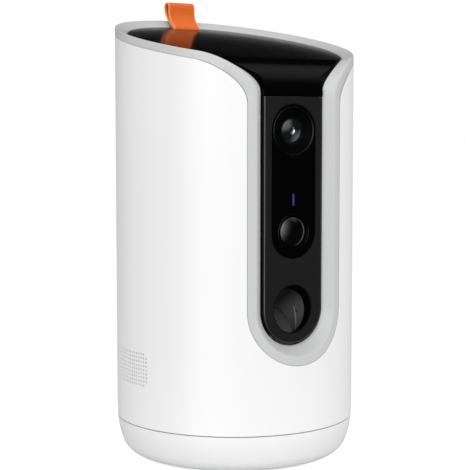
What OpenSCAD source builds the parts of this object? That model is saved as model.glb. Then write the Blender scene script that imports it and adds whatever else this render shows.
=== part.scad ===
// Treat-tossing pet camera: a round body with a slanted lift-off lid, a camera
// tongue down the front and a spring thrower under a treat hopper.
// Millimetres, +Z up, the front faces -Y and the body stands on the origin.

/* [Body] */
// outside diameter of the round body
body_d = 120; // [116:1:128]
// height of the rim at the back
body_h = 223.2; // [221:0.1:236]
// thickness of the moulded housing walls
wall = 2.6; // [2:0.1:3]
// slope of the top, in degrees
rim_tilt = 12.5; // [10:0.5:14]
// height of the seam between base and housing
base_h = 20; // [18.5:0.5:21]
// radius of the round at the base's lower edge
base_round = 10.2; // [8:0.2:13]
// radius of the swelling side of the base, seen from the side
base_swell = 38.8; // [32:0.2:50]
// gap that shows at the base seam
base_seam = 0.5; // [0.3:0.1:1]

/* [Rim trim] */
// width of the trim band on the outside of the body
trim_band = 4.1; // [3:0.1:5]
// how far the bevelled trim face reaches inwards
trim_in = 6; // [5.5:0.1:6.5]
// radius of the fall from the slanted top into the front
rim_round = 21; // [18:0.5:24]
// gap between the trim and the pieces next to it
trim_gap = 0.15; // [0.1:0.05:0.3]

/* [Front panel] */
// width of the front panel
panel_w = 33; // [31:0.5:34]
// thickness of the front panel face
panel_t = 2.5; // [2:0.1:3]
// how far the panel stands out of its channel
panel_proud = 1.9; // [1:0.1:2.4]
// free gap beside the panel
panel_gap = 0.95; // [0.6:0.05:1.2]
// diameter of the treat outlet
outlet_d = 21.8; // [20:0.2:23]
// downward slope of the outlet's throat, in degrees
throat_tilt = 20; // [10:1:24]
// width of the gloss window
window_w = 25.8; // [25:0.2:28]
// thickness of the gloss window
window_t = 1.15; // [0.8:0.05:1.5]

/* [Camera and sensors] */
// diameter of the camera ring
lens_ring_d = 22.8; // [20:0.2:23]
// diameter of the front glass
lens_d = 12.7; // [10:0.1:13.5]
// diameter of the motion sensor dome
pir_d = 15.2; // [13:0.2:16]
// width of the ring round the motion sensor dome
pir_rim = 1.1; // [0.8:0.1:1.6]
// height of the light bar
light_h = 5.6; // [4:0.2:8]
// width of the light bar
light_w = 1; // [0.8:0.1:2]

/* [Lid] */
// thickness of the lid
lid_t = 2.5; // [2:0.1:3]
// depth of the lid below the rim
lid_drop = 2.8; // [2.2:0.1:3.4]
// thickness of the lid seal
seal_t = 2.2; // [1.6:0.1:3]
// width of the pull tab
tab_w = 16; // [12:0.5:20]
// height of the pull tab above the lid
tab_h = 14.5; // [11:0.5:18]
// how far the pull tab leans back
tab_lean = 7.5; // [3:0.5:8]
// thickness of the pull tab strip
tab_t = 0.9; // [0.7:0.1:1.2]

/* [Treat feed] */
// diameter of the feed rotor
rotor_d = 61.6; // [58:0.2:64]
// height of the feed rotor
rotor_h = 18.8; // [16:0.2:19]
// number of treat pockets
pockets = 5; // [4:1:5]
// diameter of a treat pocket
pocket_d = 19; // [17:0.5:20]
// diameter of the drop into the thrower
drop_d = 18; // [16:0.5:18.5]
// teeth on the feed gear
feed_teeth = 20; // [18:1:22]
// teeth on the feed pinion
feed_pinion_teeth = 12; // [12:1:14]
// module of the feed gears
feed_module = 0.8; // [0.7:0.05:0.8]

/* [Thrower] */
// swing of the paddle in degrees
throw_swing = 45; // [30:1:45]
// length of the paddle arm
arm_l = 24.5; // [22:0.5:25]
// teeth of the full circle that the sector is cut from
sector_teeth = 40; // [38:1:42]
// teeth of the full circle of the throw pinion
throw_pinion_teeth = 12; // [12:1:14]
// module of the throw gears
throw_module = 1; // [0.9:0.05:1]
// wire of the throw spring
spring_wire = 1.2; // [0.8:0.1:1.4]

/* [Speaker and inlet] */
// height of the speaker grille centre
grille_z = 48.5; // [47:0.5:52]
// spacing of the grille holes
grille_pitch = 1.9; // [1.6:0.1:2.1]
// diameter of a grille hole
grille_hole_d = 1.1; // [0.8:0.1:1.3]
// width of the power socket
socket_w = 9; // [8:0.2:10]
// height of the power socket
socket_h = 3.2; // [2.8:0.1:3.4]
// diameter of the reset button
button_d = 4; // [3:0.2:5]
// travel of the reset button
button_travel = 0.7; // [0.4:0.1:0.8]

/* [Hardware] */
// diameter of the screws
screw_d = 3; // [2.5:0.1:3.2]
// diameter of the shafts
shaft_d = 5; // [4:0.2:5]
// radial clearance of a running fit
run_fit = 0.05; // [0.03:0.01:0.08]
// clearance between seated pieces
seat_gap = 0.1; // [0.05:0.05:0.15]

/* [Hidden] */
$fn = 96;
// body
body_r = body_d / 2;
inner_r = body_r - wall;
slope = tan(rim_tilt);
base_floor = 1;
cup_round_z = base_floor + base_round;
swell_rise = 1.9;
swell_z = base_h + swell_rise;
swell_r = body_r - base_swell;
swell_drop = cup_round_z - swell_z;
swell_lap = 0.03;
swell_step = base_swell - base_round + swell_lap;
swell_reach = sqrt(pow(swell_step, 2) - pow(swell_drop, 2));
cup_round_r = swell_r + swell_reach;
cup_turn_r = swell_r + (base_swell - wall) * swell_reach / swell_step;
floor_top = base_floor + wall;
foot_r2 = body_r * 0.65;
foot_r1 = foot_r2 - 7;
foot_t = 2;
button_flange_d = button_d + 2;
lip_r2 = inner_r - 0.2;
lip_r1 = lip_r2 - 2.2;
lip_top = base_h + 4;
shell_z = base_h + base_seam / 2;
base_top = base_h - base_seam / 2;
boss_r = body_r - 14;
boss_d = screw_d + 5.4;
boss_rib = 3;
deck_t = 3;
inlet_z = lip_top + button_flange_d / 2 + 0.5;
deck_z = inlet_z + button_flange_d / 2 + 0.5;
deck_top = deck_z + deck_t;
head_seat_z = base_h / 2 - 1;
small_d = 2.5;
small_bore = small_d / 2 + run_fit;
small_clear = small_d / 2 + 0.2;

// the front slot, its trim and the channel beside the panel
panel_x = panel_w / 2;
inner_x = panel_x + panel_gap;
trim_r = body_r - trim_in;
inner_f = sqrt(trim_r * trim_r - inner_x * inner_x);
panel_f = inner_f + panel_proud;
trim_face = 4.85;
edge_x = inner_x + trim_face;
edge_f = sqrt(body_r * body_r - edge_x * edge_x);
band_x = edge_x + trim_band;
band_f = sqrt(body_r * body_r - band_x * band_x);
trim_lip_r = inner_r - 0.2;
// each rim curve: radius, drop below the rim, front plane, round, flat foot
edge_curve = [body_r, 0, edge_f, rim_round, false];
band_curve = [body_r, trim_band, band_f, rim_round, false];
inner_curve = [trim_r, lid_drop, inner_f, rim_round - 4, true];
cut_x = band_x + trim_gap;
cut_curve = [body_r, trim_band + trim_gap, sqrt(body_r * body_r - cut_x * cut_x), rim_round, false];
top_steps = 44;
round_steps = 10;
foot_steps = 16;
last_step = top_steps + round_steps + 1 + foot_steps;

// heights on the front: the camera hangs from the lid's edge, the outlet stands over the thrower
lid_round = rim_round - 2;
lid_edge_z = round_z([trim_r, lid_drop, panel_f, lid_round]);
panel_top = lid_edge_z + 0.1;
lens_z = panel_top - 16.3;
pivot_z = deck_top + 21.5;
outlet_z = pivot_z + 23.4;
pir_share = 0.4353;
pir_z = outlet_z + pir_share * (lens_z - outlet_z);
pir_top = pir_z + pir_d / 2 + pir_rim;
light_share = 0.2366;
light_z = pir_top + light_share * (lens_z - lens_ring_d / 2 - pir_top);
outlet_r = outlet_d / 2;
window_r = window_w / 2;
window_f = panel_f - window_t;
face_back = panel_f - panel_t;
frame_depth = 7.2;
frame_t = 2.5;
flange_f = panel_f - frame_depth;
flange_t = 2;
flange_w = 9.5;
flange_x = panel_x + flange_w;
collar_l = 2.8;
collar_f = face_back - collar_l;
camera_depth = 12.5;
barrel_depth = 6.5;
barrel_lip = 2.5;
glass_depth = 1.8;
sensor_depth = 5;
led_r = 2.4;
led_drop = 17;
column_f = flange_f - flange_t - seat_gap;
column_w = 5;
column_t = 5.6;
column_x = flange_x - column_w / 2;

// lid, liner, seal and hopper rim, as drops below the rim
plate_drop = lid_t / cos(rim_tilt);
lid_r = trim_r - 0.6;
lid_x = panel_x + 0.4;
liner_t = 1.6;
liner_drop = lid_drop + plate_drop + seat_gap;
seal_drop = liner_drop + liner_t + seat_gap;
hopper_drop = seal_drop + seal_t + seat_gap;
tab_f = -(lid_r - 5);
tab_foot_t = 3.2;

// treat hopper and feed
hopper_r = body_r - 12;
hopper_t = 2;
hopper_f = 26;
hopper_floor = outlet_z + 42;
hopper_floor_t = 3;
ledge_z = panel_top + 0.3;
ledge_t = 1.6;
rim_r = trim_r - 1.8;
plug_r = hopper_r - hopper_t - 1;
post_r = inner_r - 5.9;
post_d = 6.4;
post_angles = [62, 125, 235, 298];
rotor_r = rotor_d / 2;
rotor_f = 4;
pocket_at = rotor_r - pocket_d / 2 + 1.7;
well_r = rotor_r + 0.7;
well_t = 2;
well_floor_t = 3;
rotor_z = hopper_floor - 1.6 - rotor_h;
well_top = rotor_z - 0.6;
well_z = well_top - well_floor_t;
drop_f = rotor_f + well_r - drop_d / 2 - 1.5;
feed_pitch_r = feed_teeth * feed_module / 2;
feed_pinion_r = feed_pinion_teeth * feed_module / 2;
gear_slack = 0.1;
feed_play = 0.16;
feed_tip = 0.85;
feed_centres = feed_pitch_r + feed_pinion_r + gear_slack;
feed_motor_f = rotor_f - feed_centres;
plate_t = 3;
plate_top = well_z - 12;
plate_z = plate_top - plate_t;
plate_x = 18;
plate_f1 = feed_motor_f - 11;
chute_t = 2;
plate_f2 = drop_f - drop_d / 2 - chute_t - 1.2;
plate_posts = [[14, rotor_f + 2], [-14, rotor_f + 2], [14, feed_motor_f - 7], [-14, feed_motor_f - 7]];
gear_h = 5;
gear_z = plate_top + 3;
shaft_r = shaft_d / 2;
feed_motor_d = 20;
feed_motor_l = 30;
motor_nose_r = 4;
motor_bolt_x = 7;
motor_shaft_l = 6;
cone_rim = 4;

// thrower
chamber_x = 12;
chamber_t = 2;
pivot_depth = 9.5;
pivot_f = panel_f - pivot_depth;
hub_r = shaft_r + 0.8;
chamber_f1 = pivot_f - arm_l - 1.5;
chamber_f2 = pivot_f + hub_r + 0.5;
chamber_z1 = pivot_z - 5.6;
chamber_z2 = outlet_z - 1;
chamber_mid = outlet_z - 14;
tube_f = collar_f - seat_gap;
tube_t = 1.8;
sector_r = sector_teeth * throw_module / 2;
throw_pinion_r = throw_pinion_teeth * throw_module / 2;
throw_centres = sector_r + throw_pinion_r + gear_slack;
throw_motor_f = pivot_f - throw_centres;
sector_x = chamber_x + chamber_t + 1.2;
sector_t = 4;
motor_x = sector_x + sector_t + 2.3;
throw_motor_d = 20;
throw_motor_l = 18.5;
motor_shaft_r = 1.5;
throw_play = 0.2;
throw_tip = 0.75;

// speaker, boards and inlet
speaker_r = 13;
speaker_ring_t = 1.5;
speaker_depth = 11;
grille_rows = 9;
grille_columns = 15;
board_t = 1.6;
board_z = floor_top + 9.4;
board_x = body_r / 2;
board_y = board_x - 2;
board_post_x = board_x - 4;
board_post_y = board_y - 5;
board_posts = [for (x = [-1, 1], y = [-1, 1]) [x * board_post_x, y * board_post_y]];
inlet_depth = 10.4;
inlet_back = inner_r - inlet_depth;
button_x = 13;
button_hole_d = button_d + 0.7;
button_face = sqrt(body_r * body_r - button_x * button_x) + 0.5;
button_stop = sqrt(inner_r * inner_r - pow(button_x + button_flange_d / 2, 2)) - 0.2;

// height of the slanted rim plane at a distance f in front of the axis
function rim_z(f, drop = 0) = body_h - slope * (f + body_r) - drop;

// height of the inside of the base at a distance r from the axis
function cup_z(r) =
    r < cup_turn_r
        ? cup_round_z - sqrt(pow(base_round - wall, 2) - pow(max(0, r - cup_round_r), 2))
        : swell_z - sqrt(pow(base_swell - wall, 2) - pow(r - swell_r, 2));

// centre height of the round that joins a curve's slanted top to its front plane
function round_z(c) = rim_z(c[2] - c[3], c[1]) - c[3] / cos(rim_tilt);

// point i of a rim curve, from the back over the round down to the slot's foot
function rim_point(c, i) =
    let (
        centre_f = c[2] - c[3],
        side_x = sqrt(c[0] * c[0] - c[2] * c[2]),
        first = acos((centre_f + c[3] * sin(rim_tilt)) / c[0]),
        turn = 180 - (180 - first) * i / top_steps,
        bend = (90 - rim_tilt) * (1 - (i - top_steps) / round_steps),
        bend_f = centre_f + c[3] * cos(bend),
        fall = 90 * (i - top_steps - round_steps - 1) / foot_steps,
        fall_x = side_x * cos(fall)
    )
    i < top_steps ? [c[0] * sin(turn), -c[0] * cos(turn), rim_z(c[0] * cos(turn), c[1])] :
    i <= top_steps + round_steps ?
        [sqrt(c[0] * c[0] - bend_f * bend_f), -bend_f, round_z(c) + c[3] * sin(bend)] :
    [fall_x, c[4] ? -c[2] : -sqrt(c[0] * c[0] - fall_x * fall_x), outlet_z - side_x * sin(fall)];

// the same point moved straight in or out to a radius
function at_radius(p, r) = let (k = r / norm([p.x, p.y])) [p.x * k, p.y * k, p.z];

// section of the trim at point i of the rim
function trim_section(i) =
    let (
        edge = rim_point(edge_curve, i),
        band = rim_point(band_curve, i),
        inner = rim_point(inner_curve, i),
        out = edge + (band - edge) * 0.15,
        in = edge + (inner - edge) * 0.1,
        lip = edge + (band - edge) * 2.2,
        step = edge + (band - edge) * 0.7
    )
    [band, out, (out + in) / 4 + edge / 2, in, inner,
     at_radius(lip, trim_r + 0.2), at_radius(lip, trim_lip_r), at_radius(step, trim_lip_r)];

function mirrored(points) = [for (p = points) [-p.x, p.y, p.z]];

// involute gear outline for teeth in use, with shortened tips and some play
function flank_angle(r, base_r, half) =
    let (a = acos(min(1, base_r / r))) half + (tan(20) - tan(a)) * 180 / PI - 20 + a;
function gear_points(teeth, used, gear_module, tip, play) =
    let (
        pitch_r = teeth * gear_module / 2,
        base_r = pitch_r * cos(20),
        root_r = pitch_r - 1.2 * gear_module,
        low_r = max(base_r, root_r),
        tip_r = pitch_r + tip * gear_module,
        half = 90 / teeth - play / pitch_r * 90 / PI,
        flank = [for (k = [0:4]) low_r + (tip_r - low_r) * k / 4]
    )
    [for (t = [0:teeth - 1]) each
        t < used ? concat(
            [polar(root_r, t * 360 / teeth - flank_angle(low_r, base_r, half))],
            [for (r = flank) polar(r, t * 360 / teeth - flank_angle(r, base_r, half))],
            [for (k = [4:-1:0]) polar(flank[k], t * 360 / teeth + flank_angle(flank[k], base_r, half))],
            [polar(root_r, t * 360 / teeth + flank_angle(low_r, base_r, half))]
        ) : [polar(root_r, t * 360 / teeth)]];
function polar(r, a) = [r * cos(a), r * sin(a)];

// a profile drawn as [distance in front of the axis, height], run out along X
module across(width) {
    rotate([90, 0, -90]) linear_extrude(width, center = true) children();
}

// a box from its half width, its front distances and its heights
module front_box(half, f1, f2, z1, z2) {
    translate([-half, -f2, z1]) cube([2 * half, f2 - f1, z2 - z1]);
}

// a round bar that runs front to back
module front_rod(x, z, f1, f2, r) {
    translate([x, -f1, z]) rotate([90, 0, 0]) cylinder(h = f2 - f1, r = r);
}

// a round bar that runs side to side
module side_rod(x1, x2, f, z, r) {
    translate([x1, -f, z]) rotate([0, 90, 0]) cylinder(h = x2 - x1, r = r);
}

// an upright round bar
module post(x, f, z1, z2, r) {
    translate([x, -f, z1]) cylinder(h = z2 - z1, r = r);
}

// a stadium-shaped plate that faces the front
module stadium(half, z1, z2, f1, f2) {
    front_rod(0, z1, f1, f2, half);
    front_rod(0, z2, f1, f2, half);
    front_box(half, f1, f2, z1, z2);
}

// everything between two slanted planes
module slanted_slab(drop1, drop2) {
    reach = body_r + 5;
    across(3 * body_r) polygon([
        [-reach, rim_z(-reach, drop1)], [reach, rim_z(reach, drop1)],
        [reach, rim_z(reach, drop2)], [-reach, rim_z(-reach, drop2)]
    ]);
}

// a D-shaped block, flat towards the front
module d_block(r, flat_f, z1, z2) {
    intersection() {
        post(0, 0, z1, z2, r);
        front_box(r + 1, -r - 1, flat_f, z1 - 1, z2 + 1);
    }
}

// a screw whose head sits on z = 0 and whose shank points down
module screw(length, d = screw_d) {
    difference() {
        cylinder(h = d * 0.7, r = d);
        translate([0, 0, d * 0.7]) cube([d, d * 0.25, d * 0.7], center = true);
        translate([0, 0, d * 0.7]) cube([d * 0.25, d, d * 0.7], center = true);
    }
    translate([0, 0, -length]) cylinder(h = length, r = d / 2);
}

// children placed on the four base bosses
module at_bosses() {
    for (a = [45:90:315]) rotate(a) translate([boss_r, 0, 0]) children();
}

// children placed on the hopper posts
module at_posts() {
    for (a = post_angles) rotate(a - 90) translate([post_r, 0, 0]) children();
}

// the white housing
module outer_shell() {
    rib_z = lip_top + 0.5;
    rib_l = body_r - boss_r - wall / 2;
    color("white") difference() {
        union() {
            difference() {
                post(0, 0, shell_z, body_h + 2, body_r);
                post(0, 0, shell_z - 1, body_h + 3, inner_r);
            }
            at_bosses() {
                translate([0, 0, shell_z]) cylinder(h = deck_z - shell_z, r = boss_d / 2);
                translate([0, -boss_rib / 2, rib_z]) cube([rib_l, boss_rib, deck_z - rib_z]);
            }
        }
        slanted_slab(trim_band + trim_gap, -body_d);
        slot_cut();
        grille_holes();
        at_bosses() translate([0, 0, base_h - 1]) cylinder(h = 20, r = screw_d / 2 + run_fit);
        socket_hole();
        front_rod(button_x, inlet_z, -body_r - 5, -body_r + 12, button_hole_d / 2);
    }
}

// the front slot, flaring into the slanted top
module slot_cut() {
    foot = top_steps + round_steps;
    side = [for (i = [foot:-1:top_steps + 1]) let (p = rim_point(cut_curve, i)) [p.x, p.z]];
    high = side[round_steps - 1];
    past = high + 3 * (high - side[round_steps - 2]);
    right = concat([[cut_x, outlet_z]], side, [past, [past.x, body_h + 5]]);
    left = [for (i = [len(right) - 1:-1:0]) [-right[i].x, right[i].y]];
    translate([0, -body_r / 3, 0]) rotate([90, 0, 0]) linear_extrude(body_r) polygon(concat(right, left));
    front_rod(0, outlet_z, body_r / 3, body_r * 4 / 3, cut_x);
}

// rows of sound holes on the left side, without the corner holes
module grille_holes() {
    for (row = [0:grille_rows - 1]) {
        trim = row == 0 || row == grille_rows - 1 ? 1 : 0;
        for (column = [trim:grille_columns - 1 - trim]) {
            turn = (column - (grille_columns - 1) / 2) * grille_pitch / body_r * 180 / PI;
            translate([0, 0, grille_z + (row - (grille_rows - 1) / 2) * grille_pitch])
                rotate([0, -90, turn]) translate([0, 0, inner_r - 3])
                    cylinder(h = wall + 6, r = grille_hole_d / 2, $fn = 24);
        }
    }
}

// opening for the power plug
module socket_hole() {
    half = socket_w / 2 + 0.4;
    r = socket_h / 2 + 0.4;
    for (x = [r - half, half - r]) front_rod(x, inlet_z, -body_r - 5, -body_r + 8, r);
    front_box(half - r, -body_r - 5, -body_r + 8, inlet_z - r, inlet_z + r);
}

// the rounded bottom that closes the housing
module base_cup() {
    color("white") difference() {
        union() {
            difference() {
                rounded_base(base_floor, 0);
                rounded_base(floor_top, wall);
                post(0, 0, base_top, body_h, body_d);
            }
            difference() {
                post(0, 0, base_top - 3, lip_top, lip_r2);
                post(0, 0, base_top - 4, lip_top + 1, lip_r1);
            }
            intersection() {
                at_bosses() translate([0, 0, floor_top - 1])
                    cylinder(h = base_top - floor_top + 1, r = boss_d / 2);
                rounded_base(base_floor, 0);
            }
            for (p = board_posts) post(p.x, p.y, floor_top - 0.5, board_z - seat_gap, 3);
        }
        at_bosses() {
            cylinder(h = base_h + 10, r = screw_d / 2 + 0.2);
            cylinder(h = head_seat_z, r = screw_d + 0.3);
        }
        for (p = board_posts) post(p.x, p.y, floor_top + 1, board_z + 1, small_bore);
        difference() {
            post(0, 0, -1, foot_t, foot_r2 + seat_gap);
            post(0, 0, -2, foot_t + 1, foot_r1 - seat_gap);
        }
    }
}

// a bowl with a rounded lower edge, set in by a margin
module rounded_base(z, margin) {
    turn = swell_z + (base_swell - margin) * swell_drop / swell_step;
    post(0, 0, z, base_h, cup_round_r);
    rotate_extrude() intersection() {
        union() {
            translate([cup_round_r, cup_round_z]) circle(base_round - margin);
            translate([0, turn]) square([body_d, swell_z - turn]);
        }
        translate([swell_r, swell_z]) circle(base_swell - margin);
    }
}

// non-slip ring under the base
module foot_ring() {
    color("dimgray") difference() {
        post(0, 0, 0, foot_t - seat_gap, foot_r2);
        post(0, 0, -1, foot_t, foot_r1);
    }
}

// screws that pull the base up against the housing
module base_screws() {
    color("silver") at_bosses() translate([0, 0, head_seat_z]) rotate([180, 0, 0]) screw(base_h * 0.75);
}

// grey trim round the slanted top and the front slot
module rim_trim() {
    right = [for (i = [0:last_step]) trim_section(i)];
    left = [for (i = [last_step - 1:-1:1]) mirrored(right[i])];
    rings = concat(right, left);
    sides = len(rings[0]);
    count = len(rings);
    function corner(i, k) = (i % count) * sides + k % sides;
    color("gainsboro") polyhedron(
        points = [for (ring = rings) each ring],
        faces = [for (i = [0:count - 1], k = [0:sides - 1]) each [
            [corner(i, k), corner(i + 1, k), corner(i + 1, k + 1)],
            [corner(i, k), corner(i + 1, k + 1), corner(i, k + 1)]
        ]]
    );
}

// deck with the panel columns, the hopper posts and the motor saddle
module chassis() {
    saddle_z = pivot_z - throw_motor_d / 2 - seat_gap;
    saddle_l = throw_motor_l - 6;
    wire_hole_r = 6;
    color("dimgray") difference() {
        union() {
            post(0, 0, deck_z + seat_gap, deck_top, inner_r - 0.6);
            for (side = [-1, 1]) translate([side * column_x, 0, 0])
                front_box(column_w / 2, column_f - column_t, column_f, deck_top - 1, panel_top - 2);
            at_posts() translate([0, 0, deck_top - 1])
                cylinder(h = hopper_floor - seat_gap - deck_top + 1, r = post_d / 2);
            translate([motor_x + throw_motor_l / 2, 0, 0])
                front_box(saddle_l / 2, throw_motor_f - 7, throw_motor_f + 7, deck_top - 1, saddle_z);
        }
        at_bosses() translate([0, 0, deck_z - 1]) cylinder(h = deck_t + 2, r = screw_d / 2 + 0.2);
        for (x = [-1, 1]) post(x * body_r / 2, -8, deck_z - 1, deck_top + 1, wire_hole_r);
        at_panel_screws() cylinder(h = 4 * column_t, r = small_clear, center = true);
        at_posts() translate([0, 0, hopper_floor - 12]) cylinder(h = 20, r = small_bore);
    }
}

// children placed on the panel screw lines, pointing to the back
module at_panel_screws() {
    for (x = [-1, 1], z = [outlet_z + 24, panel_top - 10])
        translate([x * column_x, -column_f, z]) rotate([-90, 0, 0]) children();
}

// screws that hold the chassis on the housing bosses
module deck_screws() {
    color("silver") at_bosses() translate([0, 0, deck_top]) screw(7);
}

// screws that hold the front panel on its columns
module panel_screws() {
    color("silver") at_panel_screws() translate([0, 0, column_t])
        screw(column_t + seat_gap + flange_t - 0.3, small_d);
}

// matt black tongue with the treat outlet
module front_panel() {
    hat_z = outlet_z + outlet_r + 3.5;
    back = flange_f - flange_t;
    color("#202022") difference() {
        union() {
            front_rod(0, outlet_z, face_back, panel_f, panel_x);
            front_box(panel_x, face_back, panel_f, outlet_z, panel_top);
            intersection() {
                throat(outlet_r + 2);
                front_box(panel_x, collar_f, face_back + 1, outlet_z - body_r, outlet_z + body_r);
            }
            difference() {
                union() {
                    front_box(panel_x, back, face_back + 1, hat_z, panel_top);
                    front_box(flange_x, back, flange_f, hat_z, panel_top - 2);
                }
                front_box(panel_x - frame_t, back - 1, face_back, hat_z + frame_t, panel_top - frame_t);
            }
            for (x = [-10, 10], z = [-10, 10])
                front_rod(x, lens_z + z, face_back - camera_depth, face_back + 1, 1.9);
            for (x = [-9, 9], z = [pir_z + 12, lens_z - 24])
                front_rod(x, z, face_back - sensor_depth, face_back + 1, 1.7);
        }
        throat(outlet_r);
        stadium(window_r + seat_gap, pir_z, lens_z, window_f - seat_gap, panel_f + 1);
        front_rod(0, lens_z, face_back - 1, panel_f, lens_d / 2 + 1.2);
        front_rod(0, pir_z, face_back - 1, panel_f, pir_d / 2 - 1.6);
        light_bar(seat_gap, face_back - 1, panel_f);
        at_infrared() cylinder(h = 8, r = led_r + 0.3);
        at_panel_screws() translate([0, 0, 0.2 - seat_gap - flange_t]) cylinder(h = 10, r = small_bore);
    }
}

// slanted bore of the outlet's throat
module throat(r) {
    reach = body_r / 3;
    translate([0, -panel_f, outlet_z]) rotate([90 - throat_tilt, 0, 0]) translate([0, 0, -reach])
        cylinder(h = 2 * reach, r = r);
}

// children placed behind the window, pointing to the front
module at_infrared() {
    for (x = [-6.5, 6.5]) translate([x, 1 - face_back, lens_z - led_drop]) rotate([90, 0, 0]) children();
}

// the shape of the light bar, grown by a margin
module light_bar(margin, f1, f2) {
    half_h = light_h / 2 + margin;
    front_box(light_w / 2 + margin, f1, f2, light_z - half_h, light_z + half_h);
}

// gloss black cover over the camera, the light and the motion sensor
module sensor_window() {
    color("black") difference() {
        stadium(window_r, pir_z, lens_z, window_f, panel_f);
        front_rod(0, lens_z, window_f - 1, panel_f + 1, lens_ring_d / 2 + seat_gap);
        front_rod(0, pir_z, window_f - 1, panel_f + 1, pir_d / 2 + pir_rim + seat_gap);
        light_bar(seat_gap, window_f - 1, panel_f + 1);
    }
}

// dished ring round the camera glass
module lens_ring() {
    color("#101010") difference() {
        front_rod(0, lens_z, window_f, panel_f, lens_ring_d / 2);
        translate([0, -window_f + 0.01, lens_z]) rotate([90, 0, 0])
            cylinder(h = window_t + 0.02, r1 = lens_d / 2 + 0.3, r2 = lens_ring_d / 2 - 1.2);
    }
}

// domed front glass of the camera
module camera_lens() {
    sag = 1.4;
    dome_r = (pow(lens_d / 2, 2) + sag * sag) / (2 * sag);
    color("#26302e") intersection() {
        front_rod(0, lens_z, face_back - glass_depth, panel_f, lens_d / 2);
        translate([0, -(panel_f - 0.3 - dome_r), lens_z]) sphere(dome_r);
    }
}

// tube that holds the glass
module lens_barrel() {
    color("#181818") difference() {
        front_rod(0, lens_z, face_back - barrel_depth, window_f - 0.2, lens_d / 2 + 0.9);
        front_rod(0, lens_z, face_back - glass_depth - seat_gap, panel_f, lens_d / 2 + seat_gap);
        front_rod(0, lens_z, face_back - barrel_depth - 1, panel_f, lens_d / 2 - barrel_lip);
    }
}

// square mount between the tube and its board
module lens_holder() {
    half = 7.5;
    back = face_back - camera_depth;
    color("#303030") difference() {
        front_box(half, back, face_back - barrel_depth, lens_z - half, lens_z + half);
        front_rod(0, lens_z, back - 1, face_back, lens_d / 2 - barrel_lip);
    }
}

// small board with the image sensor
module camera_board() {
    half = 12;
    front = face_back - camera_depth;
    color("darkgreen") front_box(half, front - board_t, front, lens_z - half, lens_z + half);
}

// night vision lamps behind the window
module infrared_leds() {
    color("#402030") at_infrared() translate([0, 0, -4]) {
        cylinder(h = 3, r = led_r);
        translate([0, 0, 3]) sphere(led_r);
    }
}

// light bar that shows the state of the camera
module status_light() {
    color("#5038b0") light_bar(0, face_back - sensor_depth + seat_gap, panel_f);
}

// ring round the motion sensor dome
module pir_ring() {
    color("#141414") difference() {
        front_rod(0, pir_z, window_f, panel_f + 0.3, pir_d / 2 + pir_rim);
        front_rod(0, pir_z, window_f - 1, panel_f + 1, pir_d / 2 + seat_gap);
    }
}

// motion sensor dome
module pir_lens() {
    sag = 3;
    dome_r = (pow(pir_d / 2, 2) + sag * sag) / (2 * sag);
    color("#2a2a2c") difference() {
        intersection() {
            front_rod(0, pir_z, window_f, panel_f + 5, pir_d / 2);
            translate([0, -(panel_f + 2.4 - dome_r), pir_z]) sphere(dome_r);
        }
        intersection() {
            front_rod(0, pir_z, window_f - 1, panel_f + 5, pir_d / 2 - 1.6);
            translate([0, -(panel_f + 1.4 - dome_r), pir_z]) sphere(dome_r);
        }
    }
}

// metal can of the motion sensor
module pir_sensor() {
    color("silver") {
        front_rod(0, pir_z, face_back - sensor_depth, face_back - sensor_depth + 1, 5.2);
        front_rod(0, pir_z, face_back - sensor_depth + 0.5, face_back + 0.5, 4.6);
    }
}

// board behind the light and the motion sensor
module sensor_board() {
    front = face_back - sensor_depth;
    color("darkgreen") front_box(11, front - board_t, front, pir_z - 8, lens_z - 13.5);
}

// gloss black lid that falls over into the front
module lid_panel() {
    back = -body_r - 5;
    color("black") difference() {
        intersection() {
            across(3 * body_r) polygon(concat(
                [[back, rim_z(back, lid_drop)]], fall_points(lid_round, 1),
                fall_points(lid_round - lid_t, -1), [[back, rim_z(back, lid_drop + plate_drop)]]
            ));
            lid_plan();
        }
        tab_slot(tab_t + 0.2);
    }
}

// points on the lid's fall at a radius, downwards (1) or back up (-1)
function fall_points(r, way) =
    let (steps = 24, turn = 90 - rim_tilt)
    [for (k = [0:steps])
        let (bend = turn * (way > 0 ? 1 - k / steps : k / steps))
        [panel_f - lid_round, lid_edge_z] + polar(r, bend)];

// outline of the lid seen from above, down to its front edge
module lid_plan() {
    low = panel_top + 0.3;
    post(0, 0, low, body_h, lid_r);
    front_box(lid_x, 0, panel_f + 1, low, body_h);
}

// slot for the foot of the pull tab
module tab_slot(half) {
    front_box(tab_w / 2 + 0.3, tab_f - half, tab_f + half, body_h / 2, body_h + 20);
}

// inner plate of the lid with a collar that locates it in the hopper
module lid_liner() {
    collar_h = 5;
    color("#2a2a2a") difference() {
        union() {
            intersection() {
                slanted_slab(liner_drop, liner_drop + liner_t);
                d_block(rim_r - 0.6, hopper_f - 0.5, 0, body_h);
            }
            intersection() {
                slanted_slab(liner_drop + 0.5, liner_drop + liner_t + seal_t + collar_h);
                difference() {
                    d_block(plug_r, hopper_f - hopper_t - 1, 1, body_h);
                    d_block(plug_r - 1.6, hopper_f - hopper_t - 2.6, 0, body_h + 1);
                }
            }
        }
        tab_slot(tab_foot_t / 2 + 0.2);
    }
}

// soft ring that seals the hopper
module lid_seal() {
    color("#b8b8b8") intersection() {
        slanted_slab(seal_drop, seal_drop + seal_t);
        difference() {
            d_block(rim_r - 0.6, hopper_f - 0.3, 1, body_h);
            d_block(plug_r + 0.6, hopper_f - hopper_t - 0.4, 0, body_h + 1);
        }
    }
}

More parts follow.
